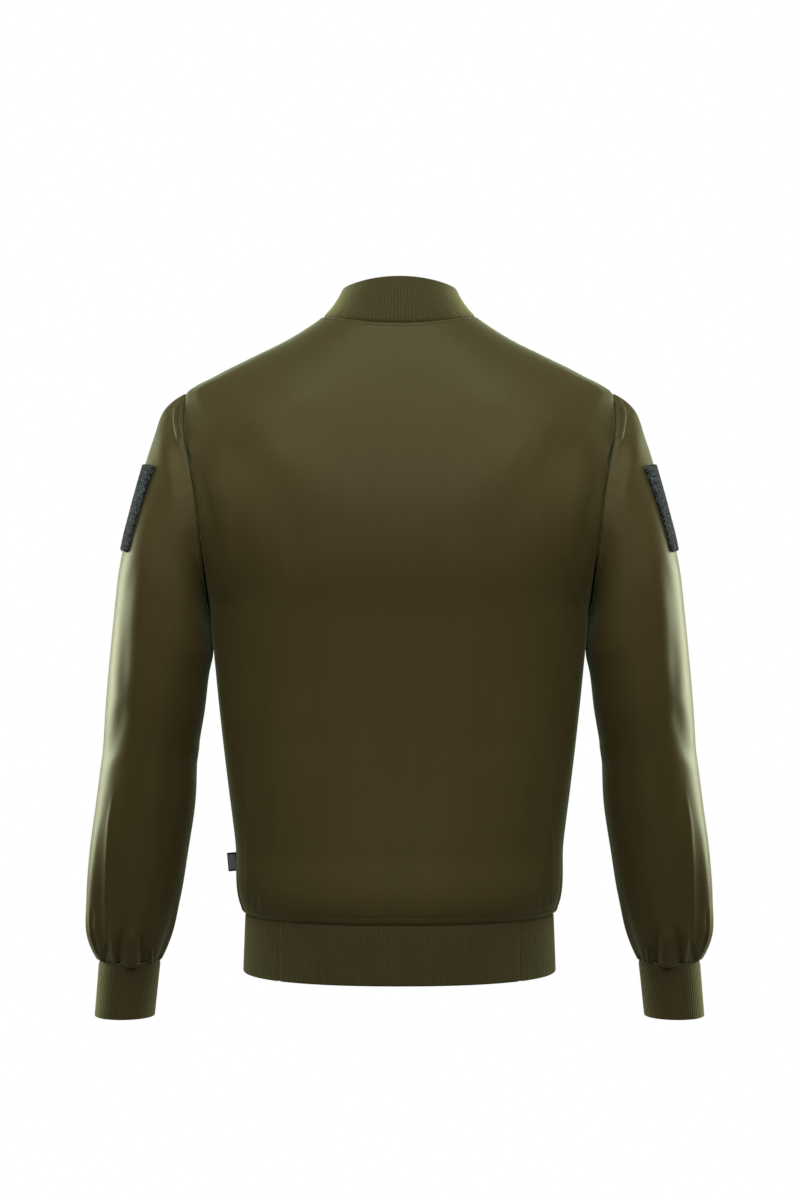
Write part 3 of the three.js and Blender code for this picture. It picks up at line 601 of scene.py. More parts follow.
# %% Plain weave group
THREAD_PITCH = 0.6 * MM
STREAKS = 0.22
STREAK_STRETCH = (90.0, 7.0, 1.0)
weave_tree, weave_in, weave_out = group(
    "plain_weave",
    [("Place", VECTOR, None), ("Threads", FLOAT, 2 * math.pi / THREAD_PITCH), ("Streaks", FLOAT, STREAKS)],
    [("Height", FLOAT), ("Shade", FLOAT)],
)
cloth = weave_in.outputs["Place"]
counted = {0: cloth, "Scale": weave_in.outputs["Threads"]}
scaled = add(weave_tree, "ShaderNodeVectorMath", counted, operation="SCALE")
across, along, _ = split(weave_tree, scaled.outputs[0])
over = maths(weave_tree, "SINE", across)
under = maths(weave_tree, "SINE", along)
weave_tree.links.new(maths(weave_tree, "MULTIPLY", over, under), weave_out.inputs["Height"])
stretched = add(weave_tree, "ShaderNodeVectorMath", {0: cloth, 1: STREAK_STRETCH}, operation="MULTIPLY")
slow = {"Vector": stretched.outputs[0], "Scale": 1.0, "Detail": 3.0}
streak = add(weave_tree, "ShaderNodeTexNoise", slow)
centred = maths(weave_tree, "SUBTRACT", streak.outputs["Fac"], 0.5)
streaked = maths(weave_tree, "MULTIPLY", centred, weave_in.outputs["Streaks"])
weave_tree.links.new(maths(weave_tree, "ADD", streaked, 1.0), weave_out.inputs["Shade"])

# %% Nylon
OLIVE = (0.072, 0.056, 0.021, 1)
nylon, tree, shader = new_material(
    "olive_nylon",
    base_color=OLIVE,
    roughness=0.46,
    specular_ior_level=0.28,
    specular_tint=(1, 0.92, 0.7, 1),
    sheen_weight=0.30,
    sheen_roughness=0.35,
    sheen_tint=(0.86, 1.0, 0.62, 1),
)
weave = add(tree, "ShaderNodeGroup", {"Place": cloth_place(tree)}, node_tree=weave_tree)
dyed = {"Factor": 1.0, 6: OLIVE, 7: weave.outputs["Shade"]}
tint = add(tree, "ShaderNodeMix", dyed, data_type="RGBA", blend_type="MULTIPLY")
coloured(tree, shader, tint.outputs[2])
bumped(tree, shader, weave.outputs["Height"], 0.05, 0.05 * MM)

# %% [markdown]
# ### Rib knit
# The ribs themselves are in the mesh. The material adds the small chevrons of the stitches in each rib and
# paints shade into the valleys: they take a darker colour in place of the shade between the ribs. The map
# counts one unit for each rib.

# %% Rib knit
KNIT_OLIVE = (0.070, 0.057, 0.022, 1)
# painted shade: the darker colour that the valleys between the ribs take
KNIT_PAINTED_SHADE = (0.045, 0.037, 0.014, 1)
KNIT_ROW = 1.5 * MM
CHEVRON_LEAN = 1.6
knit, tree, shader = new_material(
    "rib_knit_olive",
    base_color=KNIT_OLIVE,
    roughness=0.78,
    specular_ior_level=0.25,
    sheen_weight=0.95,
    sheen_roughness=0.38,
    sheen_tint=(0.97, 1.0, 0.55, 1),
)
rib, up, _ = split(tree, cloth_place(tree))
crest = maths(tree, "COSINE", maths(tree, "MULTIPLY", rib, 2 * math.pi))
# painted shade: the colour darkens from the rib crests into the valleys, where shade falls between the ribs
coloured(tree, shader, blended(tree, ranged(tree, crest, -1.0, 0.5), KNIT_PAINTED_SHADE, KNIT_OLIVE))
lean = maths(tree, "MULTIPLY", crest, CHEVRON_LEAN)
rise = maths(tree, "MULTIPLY", up, 2 * math.pi / KNIT_ROW)
bumped(tree, shader, maths(tree, "SINE", maths(tree, "ADD", rise, lean)), 0.35, 0.2 * MM)

# %% [markdown]
# ### Loop pile
# The panels on the sleeves are the loop half of a hook-and-loop fastener: a heather of navy, grey and black
# loops. Voronoi cells of loop size take a shade each.

# %% Loop pile
LOOPS = 780.0
PILE_BLACK = (0.002, 0.003, 0.006, 1)
PILE_NAVY = (0.014, 0.019, 0.028, 1)
PILE_GREY = (0.105, 0.13, 0.165, 1)
pile, tree, shader = new_material(
    "loop_pile_navy", roughness=0.95, specular_ior_level=0.1, sheen_weight=0.05, sheen_roughness=0.6
)
cells = add(tree, "ShaderNodeTexVoronoi", {"Vector": jacket_place(tree), "Scale": LOOPS})
draw = add(tree, "ShaderNodeSeparateColor", {0: cells.outputs["Color"]})
coloured(tree, shader, shades(tree, draw.outputs[0], PILE_BLACK, PILE_GREY, [(0.6, PILE_NAVY)]))
bumped(tree, shader, cells.outputs["Distance"], 0.8, 0.6 * MM, invert=True)

# %% [markdown]
# ### Tape, thread, metal and label
# The zip tape is a herringbone weave. The thread is a shade darker than the nylon. The slider, its pull and
# the teeth are dark metal, and the label is a black ribbon with a plain grey check inside a black border.

# %% Zip tape
TAPE_STRIPE = 4 * MM
TAPE_RIDGES = 5200.0
TAPE_DARK = (0.022, 0.020, 0.010, 1)
TAPE_LIGHT = (0.048, 0.043, 0.021, 1)
tape_cloth, tree, shader = new_material(
    "zip_tape_olive", roughness=0.7, specular_ior_level=0.25, sheen_weight=0.2
)
across, _, up = split(tree, jacket_place(tree))
slant = maths(tree, "ADD", maths(tree, "PINGPONG", across, TAPE_STRIPE), up)
ridges = maths(tree, "SINE", maths(tree, "MULTIPLY", slant, TAPE_RIDGES))
coloured(tree, shader, blended(tree, ranged(tree, ridges, -1.0, 1.0), TAPE_DARK, TAPE_LIGHT))
bumped(tree, shader, ridges, 0.3, 0.2 * MM)

# %% Thread
THREAD_DARK = (0.020, 0.018, 0.008, 1)
THREAD_LIGHT = (0.060, 0.053, 0.024, 1)
thread, tree, shader = new_material("olive_thread", roughness=0.5, specular_ior_level=0.4, sheen_weight=0.2)
twist = add(tree, "ShaderNodeTexNoise", {"Vector": jacket_place(tree), "Scale": 900.0, "Detail": 1.0})
coloured(tree, shader, shades(tree, twist.outputs["Fac"], THREAD_DARK, THREAD_LIGHT))

# %% Metal
METAL_DARK = (0.060, 0.058, 0.055, 1)
METAL_LIGHT = (0.200, 0.195, 0.185, 1)
gunmetal, tree, shader = new_material("gunmetal", metallic=1.0, roughness=0.34)
wear = add(tree, "ShaderNodeTexNoise", {"Vector": jacket_place(tree), "Scale": 260.0, "Detail": 4.0})
coloured(tree, shader, shades(tree, wear.outputs["Fac"], METAL_DARK, METAL_LIGHT))
tree.links.new(ranged(tree, wear.outputs["Fac"], 0.0, 1.0, 0.25, 0.45), shader.inputs["Roughness"])

# %% Label ribbon
CHECK_PITCH = 2.9 * MM
LABEL_FOLD = 10.5 * MM
LABEL_PANEL = ((5.4 * MM, 3.5 * MM), (9.25 * MM, 7.3 * MM))
LABEL_BLACK = (0.007, 0.007, 0.008, 1)
LABEL_GREY = (0.30, 0.33, 0.38, 1)
ribbon, tree, shader = new_material("woven_label", roughness=0.6, specular_ior_level=0.3, sheen_weight=0.15)
across, up, _ = split(tree, cloth_place(tree))
off_fold = maths(tree, "ABSOLUTE", maths(tree, "SUBTRACT", across, LABEL_FOLD))
masks = []
waves = []
for place, (middle, half) in zip((off_fold, up), LABEL_PANEL):
    masks.append(maths(tree, "COMPARE", place, middle, half))
    waves.append(maths(tree, "SINE", maths(tree, "MULTIPLY", place, 2 * math.pi / CHECK_PITCH)))
inside = maths(tree, "MULTIPLY", *masks)
check = ranged(tree, maths(tree, "MULTIPLY", *waves), -0.25, 0.1)
coloured(tree, shader, blended(tree, maths(tree, "MULTIPLY", check, inside), LABEL_BLACK, LABEL_GREY))
threads = add(
    tree, "ShaderNodeTexWave", {"Vector": jacket_place(tree), "Scale": 420.0}, bands_direction="Z"
)
bumped(tree, shader, threads.outputs["Fac"], 0.4, 0.1 * MM)
print("materials:", sorted(m.name for m in bpy.data.materials))

# %% [markdown]
# ## The back
# The back is one piece of nylon from side seam to side seam. Seen from behind it is smooth: soft drape
# lines fall from the shoulder blades, a fold runs down beside each armhole, and small gathers stand on the
# waistband seam near the sides. The cloth turns in at every seam.

# %% The back
NYLON = 1.2 * MM
SPACING = 3.2 * MM
SEAM_DIP = 1.0 * MM
SEAM_WIDTH = 3.2 * MM

BACK_FOLDS = [
    ([(209, -64), (215, -76), (221, -88)], 4.2, 1.4, False),
    ([(60, -72), (110, -88), (160, -101), (184, -114), (203, -150)], 17, 2.0, False),
    ([(199, -135), (195, -170), (188, -215), (184, -262)], 7, -2.2, False),
    ([(186, -140), (178, -185), (172, -235), (171, -280)], 9, 1.3, False),
    ([(188, -108), (150, -150), (110, -205), (82, -270)], 24, -1.3, False),
    ([(165, -95), (120, -128), (70, -165), (30, -212)], 26, 1.1, False),
    ([(60, -60), (52, -150), (56, -260), (62, -370)], 22, -0.8, False),
    ([(0, -110), (3, -190), (-2, -300), (1, -400)], 18, 0.8, False),
    ([(118, -240), (122, -340), (124, -430), (120, -520)], 20, 1.1, False),
    ([(148, -300), (146, -400), (143, -480), (139, -560)], 13, -1.2, False),
    ([(28, -360), (26, -450), (30, -560)], 17, -0.7, False),
    ([(88, -380), (85, -460), (90, -565)], 15, -0.8, False),
    ([(219, -120), (214, -131), (209, -143), (206, -153)], 3.4, -2.0, True),
    ([(152, -455), (152.2, -520), (152.2, -594)], 1.7, 1.1, True),
    ([(148.6, -548), (149.2, -596)], 2.2, -1.7, True),
    ([(150.6, -566), (147, -594)], 1.4, 0.9, True),
    ([(143.6, -556), (143.4, -596)], 2.4, -1.6, True),
    ([(139.2, -570), (138.4, -594)], 1.5, 0.9, True),
    ([(135, -572), (134.6, -597)], 2.2, -0.8, True),
    ([(122, -574), (121.5, -598)], 3.0, -0.5, True),
]
NECK_LINE = 4.8 * MM
HEM_LINE = 7.6 * MM
BODY_BLEND = (0.35, 0.5)
STITCH_SINK = 0.35 * MM
STITCH_DIP = 0.9 * MM
STITCH_PITCH = 3.2 * MM
DIP_PITCH = 6 * MM
DIP_UNEVEN = 0.35
STITCH_UNEVEN = 0.4
PUCKER = 0.3 * MM
PUCKER_PITCH = 4.5 * MM
PUCKER_REACH = 9 * MM


def seam_turn(points, lines):
    """How far the cloth is turned in beside its edges, with small uneven puckers. lines has how far from
    each edge a line of stitches pulls the cloth in."""
    left, right, low, high = from_edges(points)
    push = np.zeros(points.shape[:2])
    edges = ((left, low), (right, low), (low, left), (high, left))
    for seed, ((distance, along), line) in enumerate(zip(edges, lines), 1):
        near = 1 - eased(distance / SEAM_WIDTH)
        uneven = 1 + DIP_UNEVEN * wander(along, DIP_PITCH, seed)
        push = np.minimum(push, -SEAM_DIP * near * uneven)
        reach = np.exp(-((distance / PUCKER_REACH) ** 2))
        push = push + PUCKER * reach * wander(along, PUCKER_PITCH, seed + 10) * (1 - near)
        if line:
            sunk = np.exp(-(((distance - line) / STITCH_DIP) ** 2))
            uneven = 1 + STITCH_UNEVEN * wander(along, STITCH_PITCH, seed + 20)
            push = push - STITCH_SINK * sunk * uneven
    return push


def body_cloth(points, folds, facing, lines):
    """A body panel's points with its folds and seams pressed in."""
    normal = outwards(points)
    towards = eased((facing * normal[..., 1] + BODY_BLEND[0]) / BODY_BLEND[1])
    push = fold_push(seen(points), folds) * towards + seam_turn(points, lines)
    return points + normal * push[..., None]


back_solid = points_of("back", lambda p: p.x + p.z + 2 * p.y, lambda p: -p.x, "wide")
print("back solid rows", back_solid.shape)
BODY_DENSE_UP = (62 * MM, 0)
BACK_DENSE_ACROSS = (36 * MM, 36 * MM)
back_points = finer(back_solid, SPACING, dense_up=BODY_DENSE_UP, dense_across=BACK_DENSE_ACROSS)
back_points = body_cloth(back_points, BACK_FOLDS, 1, (0, 0, HEM_LINE, NECK_LINE))
back = sheet_object("back_panel", back_points, nylon, NYLON)
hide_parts("back")

# %% [markdown]
# ## The fronts
# The photograph doesn't show them, so they are plain: one panel on each side of the zip, with folds like
# those of the back, a little softer.

# %% The fronts
FRONT_FOLDS = [
    ([(209, -64), (215, -76), (221, -88)], 4.2, 1.4, False),
    ([(196, -140), (190, -180), (183, -225), (179, -270)], 8, -1.8, False),
    ([(182, -120), (140, -170), (104, -228), (84, -292)], 24, -1.4, False),
    ([(160, -95), (118, -140), (76, -190), (44, -250)], 24, 1.2, False),
    ([(56, -110), (46, -210), (50, -320), (56, -420)], 20, -0.9, False),
    ([(112, -260), (118, -360), (122, -450), (118, -540)], 20, 1.2, False),
    ([(146, -310), (143, -400), (140, -480), (137, -560)], 13, -1.2, False),
    ([(84, -400), (82, -480), (86, -570)], 15, -0.9, False),
    ([(30, -420), (31, -500), (29, -585)], 12, -0.7, False),
    ([(152, -545), (153, -592)], 2.4, -1.5, True),
    ([(148, -560), (148.5, -592)], 1.6, 0.9, True),
    ([(144, -550), (144, -592)], 2.2, -1.4, True),
    ([(137, -556), (138, -593)], 2.4, -1.2, True),
    ([(125, -562), (126, -594)], 3.0, -0.8, True),
]
ZIP_LINE = 6.8 * MM
FRONT_DENSE_ACROSS = (36 * MM, 0)
front_points = {}
for side, word in SIDES:
    solid = points_of(
        f"front_{word}", lambda p: p.z - side * p.x - 2 * p.y, lambda p: side * p.x, "tall"
    )
    print("front solid rows", solid.shape)
    cloth = finer(solid, SPACING, dense_up=BODY_DENSE_UP, dense_across=FRONT_DENSE_ACROSS)
    cloth = body_cloth(cloth, FRONT_FOLDS, -1, (0, ZIP_LINE, HEM_LINE, NECK_LINE))
    front_points[word] = cloth
    front = sheet_object(f"front_panel_{word}", cloth, nylon, NYLON)
    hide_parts(f"front_{word}")

# %% [markdown]
# ## The sleeves
# Each sleeve is set into the armhole, where its cap is puckered, and gathered into the cuff. A bright
# curved fold stands on the cap, a long soft one runs down the outside, a crease marks the elbow's inner
# side, and the cloth droops over the cuff between its gathers. The hidden side has the same kinds of
# fold. Where the outside of the sleeve turns from back to front, the two sets blend.

# %% The sleeves
SLEEVE_BACK_FOLDS = [
    ([(217.4, -79), (221.8, -89), (224.1, -99), (223.2, -110), (220, -132)], 2.2, 4.2, True),
    ([(214.5, -80), (218.4, -90), (220.4, -100), (219.6, -111), (216.5, -128)], 2.6, -2.2, True),
    ([(234, -92), (233, -106)], 2.2, 0.7, True),
    ([(240, -120), (231, -160), (222, -205), (214, -245)], 14, 1.2, False),
    ([(228, -118), (218, -150), (209, -190)], 10, -1.3, False),
    ([(199, -226), (201.5, -240), (197, -256)], 3.0, 1.2, True),
    ([(204, -236), (203, -250), (199, -262)], 3.0, -1.1, True),
    ([(193, -286), (191, -300)], 2.6, 0.9, True),
    ([(189, -318), (187, -336)], 2.6, 0.9, True),
    ([(264, -238), (268.5, -258), (273, -275), (276, -302), (277, -345), (276, -388)], 8, -1.6, False),
    ([(276, -380), (280, -404), (288, -430), (298, -452)], 8, -1.5, False),
    ([(258, -300), (262, -360), (264, -430), (272, -500)], 11, 1.2, False),
    ([(232, -300), (240, -380), (248, -460), (254, -540)], 15, 1.2, False),
    ([(218, -340), (224, -420), (232, -500), (240, -580)], 12, -1.1, False),
    ([(284, -462), (290, -503), (292.4, -538), (293.9, -580), (293.9, -642)], 3.2, 1.5, True),
    ([(297, -500), (300, -530), (301, -560), (300, -610)], 5.5, -0.7, False),
    ([(284, -520), (285, -560), (284, -600), (285, -640)], 6, -0.9, False),
    ([(311, -585), (307.6, -594), (308.7, -611), (304.3, -629), (299, -645)], 3, -1.8, True),
    ([(199, -424), (205, -436), (214, -441)], 6, 0.7, False),
    ([(202, -440), (209, -447), (218, -453)], 4.5, -1.1, False),
    ([(205, -462), (213, -468)], 5, 0.6, False),
    ([(276, -606), (280, -630), (281, -662)], 3.4, -3.3, True),
    ([(268.5, -608), (268.5, -636), (268.5, -660)], 6.5, 2.2, False),
    ([(259, -612), (257.5, -636), (256.5, -662)], 3.6, -3.3, True),
    ([(250.5, -626), (251.5, -662)], 1.8, -2.0, True),
    ([(248, -626), (248.6, -662)], 1.6, 1.2, True),
    ([(244.5, -630), (245.8, -662)], 1.8, -1.8, True),
    ([(239.5, -634), (241.5, -662)], 1.8, -1.5, True),
    ([(290, -620), (294, -638), (296, -662)], 2.4, -2.0, True),
]
DROOP_HEIGHT = 5.5 * MM
BACK_DROOP = (268.5, 9.0, 3.2)
FRONT_DROOP = (262.0, 9.0, 2.6)
DROOP_OUT = 0.6
SLEEVE_FRONT_FOLDS = [
    ([(216, -84), (221, -98), (222, -112), (218, -130)], 4.0, 1.5, True),
    ([(236, -126), (227, -168), (218, -210), (209, -250)], 14, 1.3, False),
    ([(226, -124), (215, -160), (206, -200)], 10, -1.3, False),
    ([(200, -232), (202, -248), (196, -262)], 3.2, 1.2, True),
    ([(192, -290), (190, -306)], 2.8, 0.9, True),
    ([(266, -250), (273, -300), (274, -360), (272, -400)], 9, -1.4, False),
    ([(252, -300), (256, -380), (262, -460)], 13, 1.2, False),
    ([(226, -330), (234, -410), (242, -500), (250, -580)], 14, 1.1, False),
    ([(204, -418), (212, -432), (228, -440)], 7, 1.3, False),
    ([(206, -436), (214, -448), (232, -456)], 6, -2.0, False),
    ([(206, -456), (216, -468), (230, -473)], 6, 1.2, False),
    ([(208, -474), (216, -484)], 5, -1.0, False),
    ([(286, -480), (291, -540), (292, -630)], 5, 1.5, False),
    ([(270, -610), (273, -662)], 3.4, -3.0, True),
    ([(262, -612), (262, -660)], 6.0, 1.9, False),
    ([(252, -616), (252, -662)], 3.2, -2.8, True),
    ([(243, -626), (246, -662)], 2.4, -1.9, True),
    ([(286, -622), (291, -662)], 2.8, -2.2, True),
]
SLEEVE_BLEND = (0.4, 0.6)
SLEEVE_SPACING = 4.2 * MM
SLEEVE_COLUMNS = 184
SLEEVE_DENSE_UP = (52 * MM, 20 * MM)
CAP_TOP = 72 * MM
CAP_FADE = 26 * MM
CAP_GATHERS = (0.55 * MM, 34, 6)
CUFF_GATHERS = (0.7 * MM, 26, 5)
GATHER_REACH = 10 * MM
GATHER_DRIFT = 1.7
GATHER_UNEVEN = 0.4
GATHER_SEWN = 0.8


def tube_turn(points):
    """How far a sleeve's cloth is turned in and gathered at its two seams. The gathers have a depth,
    a number and a seed, and those of the cap fade out at its top."""
    girth, _, low, high = from_edges(points)
    push = np.zeros(points.shape[:2])
    share = 2 * math.pi * girth / girth[:, -1:]
    below_cap = eased((-CAP_TOP - points[..., 2]) / CAP_FADE)
    for distance, (deep, count, seed), fade in ((low, CUFF_GATHERS, 1), (high, CAP_GATHERS, below_cap)):
        near = 1 - eased(distance / SEAM_WIDTH)
        push = np.minimum(push, -SEAM_DIP * near)
        reach = np.exp(-((distance / GATHER_REACH) ** 2))
        wave = np.sin(count * share + GATHER_DRIFT * np.sin(3 * share + seed))
        wave = wave * (1 - GATHER_UNEVEN + GATHER_UNEVEN * np.sin(5 * share + seed))
        push = push + deep * fade * reach * wave * (1 - GATHER_SEWN * near)
    return push


def droop(flat, low, middle, half, depth):
    """How far the cloth hangs over the cuff, round a middle place."""
    window = np.exp(-(((flat[..., 0] - middle) / half) ** 4))
    height = low / DROOP_HEIGHT
    return depth * MM * window * height * np.exp(1 - height)


for side, word in SIDES:
    solid = points_of(f"sleeve_{word}", lambda p: 10 * p.z + side * p.x, lambda p: -p.y, "tube")
    print("sleeve solid rows", solid.shape)
    around_it = np.linspace(0, 1, SLEEVE_COLUMNS + 1)
    points = finer(solid, SLEEVE_SPACING, closed=True, across=around_it, dense_up=SLEEVE_DENSE_UP)
    normal = outwards(points, closed=True)
    to_back = eased((SLEEVE_BLEND[0] + normal[..., 1]) / SLEEVE_BLEND[1])
    to_front = eased((SLEEVE_BLEND[0] - normal[..., 1]) / SLEEVE_BLEND[1])
    flat = seen(points)
    push = fold_push(flat, SLEEVE_BACK_FOLDS) * to_back + fold_push(flat, SLEEVE_FRONT_FOLDS) * to_front
    push = push + tube_turn(points)
    low = from_edges(points)[2]
    hang = droop(flat, low, *BACK_DROOP) * to_back + droop(flat, low, *FRONT_DROOP) * to_front
    push = push + DROOP_OUT * hang
    push[:, -1] = push[:, 0]
    hang[:, -1] = hang[:, 0]
    points = points + normal * push[..., None]
    points[..., 2] -= hang
    sewn_in(points, normal, -1, -2, -3)
    sleeve = sheet_object(f"sleeve_cloth_{word}", points, nylon, NYLON, closed=True)
    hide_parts(f"sleeve_{word}")

# %% [markdown]
# ## Rib knit bands
# The collar, the waistband and the cuffs are rib knit. The solid's own ribs are a zigzag, so they are
# averaged out first, and rounded ribs with narrow valleys are raised in their place, six points to a rib.
# The free edges are a fold of the knit and so are rounded. A sewn edge goes on behind its neighbour as a
# seam allowance, so that no light comes through the seam. A join shows in the waistband on each side.

# %% Rib knit bands
RIB_RISE = 0.36 * MM
RIB_ROUND = 0.7
RIB_STEPS = (0, 0.25, 0.6, 1.0, 1.6, 2.6)
BAND_TUCK = 0.7 * MM
TUCK_WIDTH = 2.4 * MM
RIB_POINTS = 6
BAND_WALL = 2.0 * MM
EDGE_ROLL = 1.5 * MM


def rib_cloth(solid, ribs, spacing, free, closed=False):
    """The points of a rib-knit band, and its map with one unit for each rib. The free edge, low or high,
    is rounded, and the other one is sewn."""
    if closed:
        flat = (np.roll(solid, 1, axis=1) + 2 * solid + np.roll(solid, -1, axis=1)) / 4
    else:
        padded = np.concatenate([solid[:, :1], solid, solid[:, -1:]], axis=1)
        flat = (padded[:, :-2] + 2 * solid + padded[:, 2:]) / 4
    turns = np.linspace(0, 1, ribs * RIB_POINTS + 1)
    length = lengths(flat)[-1]
    steps = np.array(RIB_STEPS) * MM
    inner = np.linspace(steps[-1], length - steps[-1], max(3, round(length / spacing)))
    heights = np.concatenate([steps[:-1], inner, (length - steps[:-1])[::-1]]) / length
    points = finer(flat, closed=closed, across=turns, up=heights)
    normal = outwards(points, closed)
    count = np.broadcast_to(turns * ribs, points.shape[:2])
    crest = np.abs(np.cos(math.pi * count)) ** RIB_ROUND
    _, _, low, high = from_edges(points)
    push = RIB_RISE * (crest - 0.5)
    for edge, distance in (("low", low), ("high", high)):
        near = np.clip(1 - distance / EDGE_ROLL, 0, 1)
        roll = -EDGE_ROLL * (1 - np.sqrt(1 - near**2))
        tuck = -BAND_TUCK * (1 - eased(distance / TUCK_WIDTH))
        push = push + (roll if edge == free else tuck)
    points = points + normal * push[..., None]
    sewn_in(points, normal, *((0, 1, 2) if free == "high" else (-1, -2, -3)))
    return points, (count, low)


def band_object(name, points, uv, closed=False):
    """A rib-knit piece."""
    return sheet_object(name, points, knit, BAND_WALL, closed, uv)


def zip_end(height_weight):
    """Picks the lowest point of the end beside the zip, on the jacket's right."""
    return lambda p: 20 * abs(p.x) + height_weight * p.z + (p.x > 0) + (p.y > 0)


# %% Waistband
WAISTBAND_RIBS = 318
JOIN_PLACE = 120.5
JOIN_WIDTH = 1.3
JOIN_DEPTH = 0.55 * MM
solid = points_of("waistband", zip_end(50), lambda p: -abs(p.x), "wide")
print("waistband solid rows", solid.shape)
points, uv = rib_cloth(solid, WAISTBAND_RIBS, 9 * MM, "low")
join_reach = np.exp(-(((seen(points)[..., 0] - JOIN_PLACE) / JOIN_WIDTH) ** 2)) * (points[..., 1] > 0)
points = points - outwards(points) * (JOIN_DEPTH * join_reach)[..., None]
waistband = band_object("waistband_knit", points, uv)
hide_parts("waistband")

# %% Collar
COLLAR_RIBS = 146
COLLAR_TRIM = 3.7 * MM
COLLAR_END = 2.3 * MM
solid = points_of(
    "collar", zip_end(1), lambda p: -abs(p.x), "wide", trimmed=lambda p: abs(p.x) < COLLAR_TRIM and p.y < 0
)
for end in (0, -1):
    solid[:, end, 0] = np.sign(solid[:, end, 0]) * COLLAR_END
print("collar solid rows", solid.shape)
points, uv = rib_cloth(solid, COLLAR_RIBS, 6 * MM, "high")
collar = band_object("collar_knit", points, uv)
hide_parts("collar")

# %% Cuffs
CUFF_RIBS = 76
for side, word in SIDES:
    solid = points_of(f"cuff_{word}", lambda p: 10 * p.z + side * p.x, lambda p: -p.y, "tube")
    points, uv = rib_cloth(solid, CUFF_RIBS, 5 * MM, "low", closed=True)
    cuff = band_object(f"cuff_knit_{word}", points, uv, closed=True)
    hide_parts(f"cuff_{word}")

# %% [markdown]
# ## Loop panels
# A loop panel is a thick pile with cut, rounded corners, sewn on the outside of the upper sleeve. The
# sheet's corners are drawn in to arcs, its edges roll down to the sleeve, and every point is moved a
# little for the uneven pile.

# %% Loop panels
PILE_SPACING = 0.95 * MM
PILE_WALL = 1.9 * MM
PILE_ROLL = 1.5 * MM
PILE_FUZZ = 0.22 * MM
CORNER = 4.5 * MM


def rounded_corners(points, radius):
    """Draws the four corners of a sheet in to arcs."""
    left, right, low, high = from_edges(points)
    across = np.gradient(points, axis=1)
    across /= np.linalg.norm(across, axis=-1, keepdims=True)
    up = np.gradient(points, axis=0)
    up /= np.linalg.norm(up, axis=-1, keepdims=True)
    moved = points.copy()
    for sideways, way in ((left, 1), (right, -1)):
        for upwards, rise in ((low, 1), (high, -1)):
            a = np.clip(1 - sideways / radius, 0, 1)
            b = np.clip(1 - upwards / radius, 0, 1)
            draw_a = a * (1 - np.sqrt(1 - b * b / 2)) * radius
            draw_b = b * (1 - np.sqrt(1 - a * a / 2)) * radius
            moved += (way * draw_a)[..., None] * across + (rise * draw_b)[..., None] * up
    return moved


def evenly(length):
    """Shares from 0 to 1 at the spacing of the pile."""
    return np.linspace(0, 1, round(length / PILE_SPACING) + 1)


for side, word in SIDES:
    solid = points_of(
        f"loop_panel_{word}", lambda p: 3 * p.z + p.y, lambda p: -p.y, "wide", facing=(side, 0, 0.3)
    )
    print("loop panel solid rows", solid.shape)
    across = evenly(lengths(solid.transpose(1, 0, 2))[-1])
    points = finer(solid, across=across, up=evenly(lengths(solid)[-1]))
    normal = outwards(points)
    points = rounded_corners(points, CORNER)
    edge = np.minimum.reduce(from_edges(points))
    near = np.clip(1 - edge / PILE_ROLL, 0, 1)
    fuzz = np.random.default_rng(40 + side).uniform(-1, 1, points.shape[:2])
    push = -PILE_ROLL * (1 - np.sqrt(1 - near**2)) + PILE_FUZZ * fuzz
    points = points + normal * push[..., None]
    panel = sheet_object(f"loop_pile_{word}", points, pile, PILE_WALL)
    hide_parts(f"loop_panel_{word}")

# %% [markdown]
# ## Side label
# A short piece of black ribbon, folded in half and caught in the side seam.

# %% Side label
LABEL_ROWS = 25
LABEL_COLUMNS = 49
LABEL_WALL = 0.4 * MM
solid = points_of("side_label", lambda p: p.z * 3 - p.y + p.x, lambda p: -p.x, "wide")
print("label solid rows", solid.shape)
points = finer(solid, across=np.linspace(0, 1, LABEL_COLUMNS), up=np.linspace(0, 1, LABEL_ROWS))
label = sheet_object("side_label_ribbon", points, ribbon, LABEL_WALL)
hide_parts("side_label")

# %% [markdown]
# ## Zip
# Two woven tapes lie behind the edges of the fronts. Between them stands the chain: small metal teeth,
# pressed on the two tapes in turn, half a tooth apart. Each tooth is a block with rounded edges.

# %% Zip tapes
TAPE_SPACING = 4 * MM
TAPE_COLUMNS = 8
TAPE_WALL = 0.8 * MM
for side, word in SIDES:
    solid = points_of(
        f"zip_tape_{word}", lambda p: p.z + side * p.x, lambda p: -side * p.x, "tall", facing=(0, -1, 0)
    )
    points = finer(solid, TAPE_SPACING, across=np.linspace(0, 1, TAPE_COLUMNS))
    tape = sheet_object(f"zip_tape_cloth_{word}", points, tape_cloth, TAPE_WALL)
    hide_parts(f"zip_tape_{word}")

# %% Zip teeth
TOOTH_PITCH = 2.6 * MM
TOOTH_HEIGHT = 1.15 * MM
TOOTH_REACH = 3.4 * MM
TOOTH_DEPTH = 2.3 * MM
TOOTH_PAST = 0.7 * MM
TOOTH_EDGE = 0.28 * MM
CHAIN_ENDS = (0.6 * MM, 0.8 * MM)
CHAIN_INSET = 1 * MM
CHAIN_READS = 400
READ_FROM = 0.05
bm = bmesh.new()
bm.from_mesh(nodes["zip_teeth"].data)
chain_tree = BVHTree.FromBMesh(bm)
bm.free()
chain_low, chain_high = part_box("zip_teeth")
line = []
for height in np.linspace(chain_low.z + CHAIN_ENDS[0], chain_high.z - CHAIN_ENDS[1], CHAIN_READS):
    hit = chain_tree.ray_cast(Vector((0, chain_low.y - READ_FROM, height)), Vector((0, 1, 0)))[0]
    if hit:
        line.append(tuple(hit))
line = np.array(line)[:, None, :]
chain_length = lengths(line)[-1]
count = int(chain_length / TOOTH_PITCH * 2)
middles = curved(line, np.linspace(CHAIN_INSET, chain_length - CHAIN_INSET, count))[:, 0]
bm = bmesh.new()
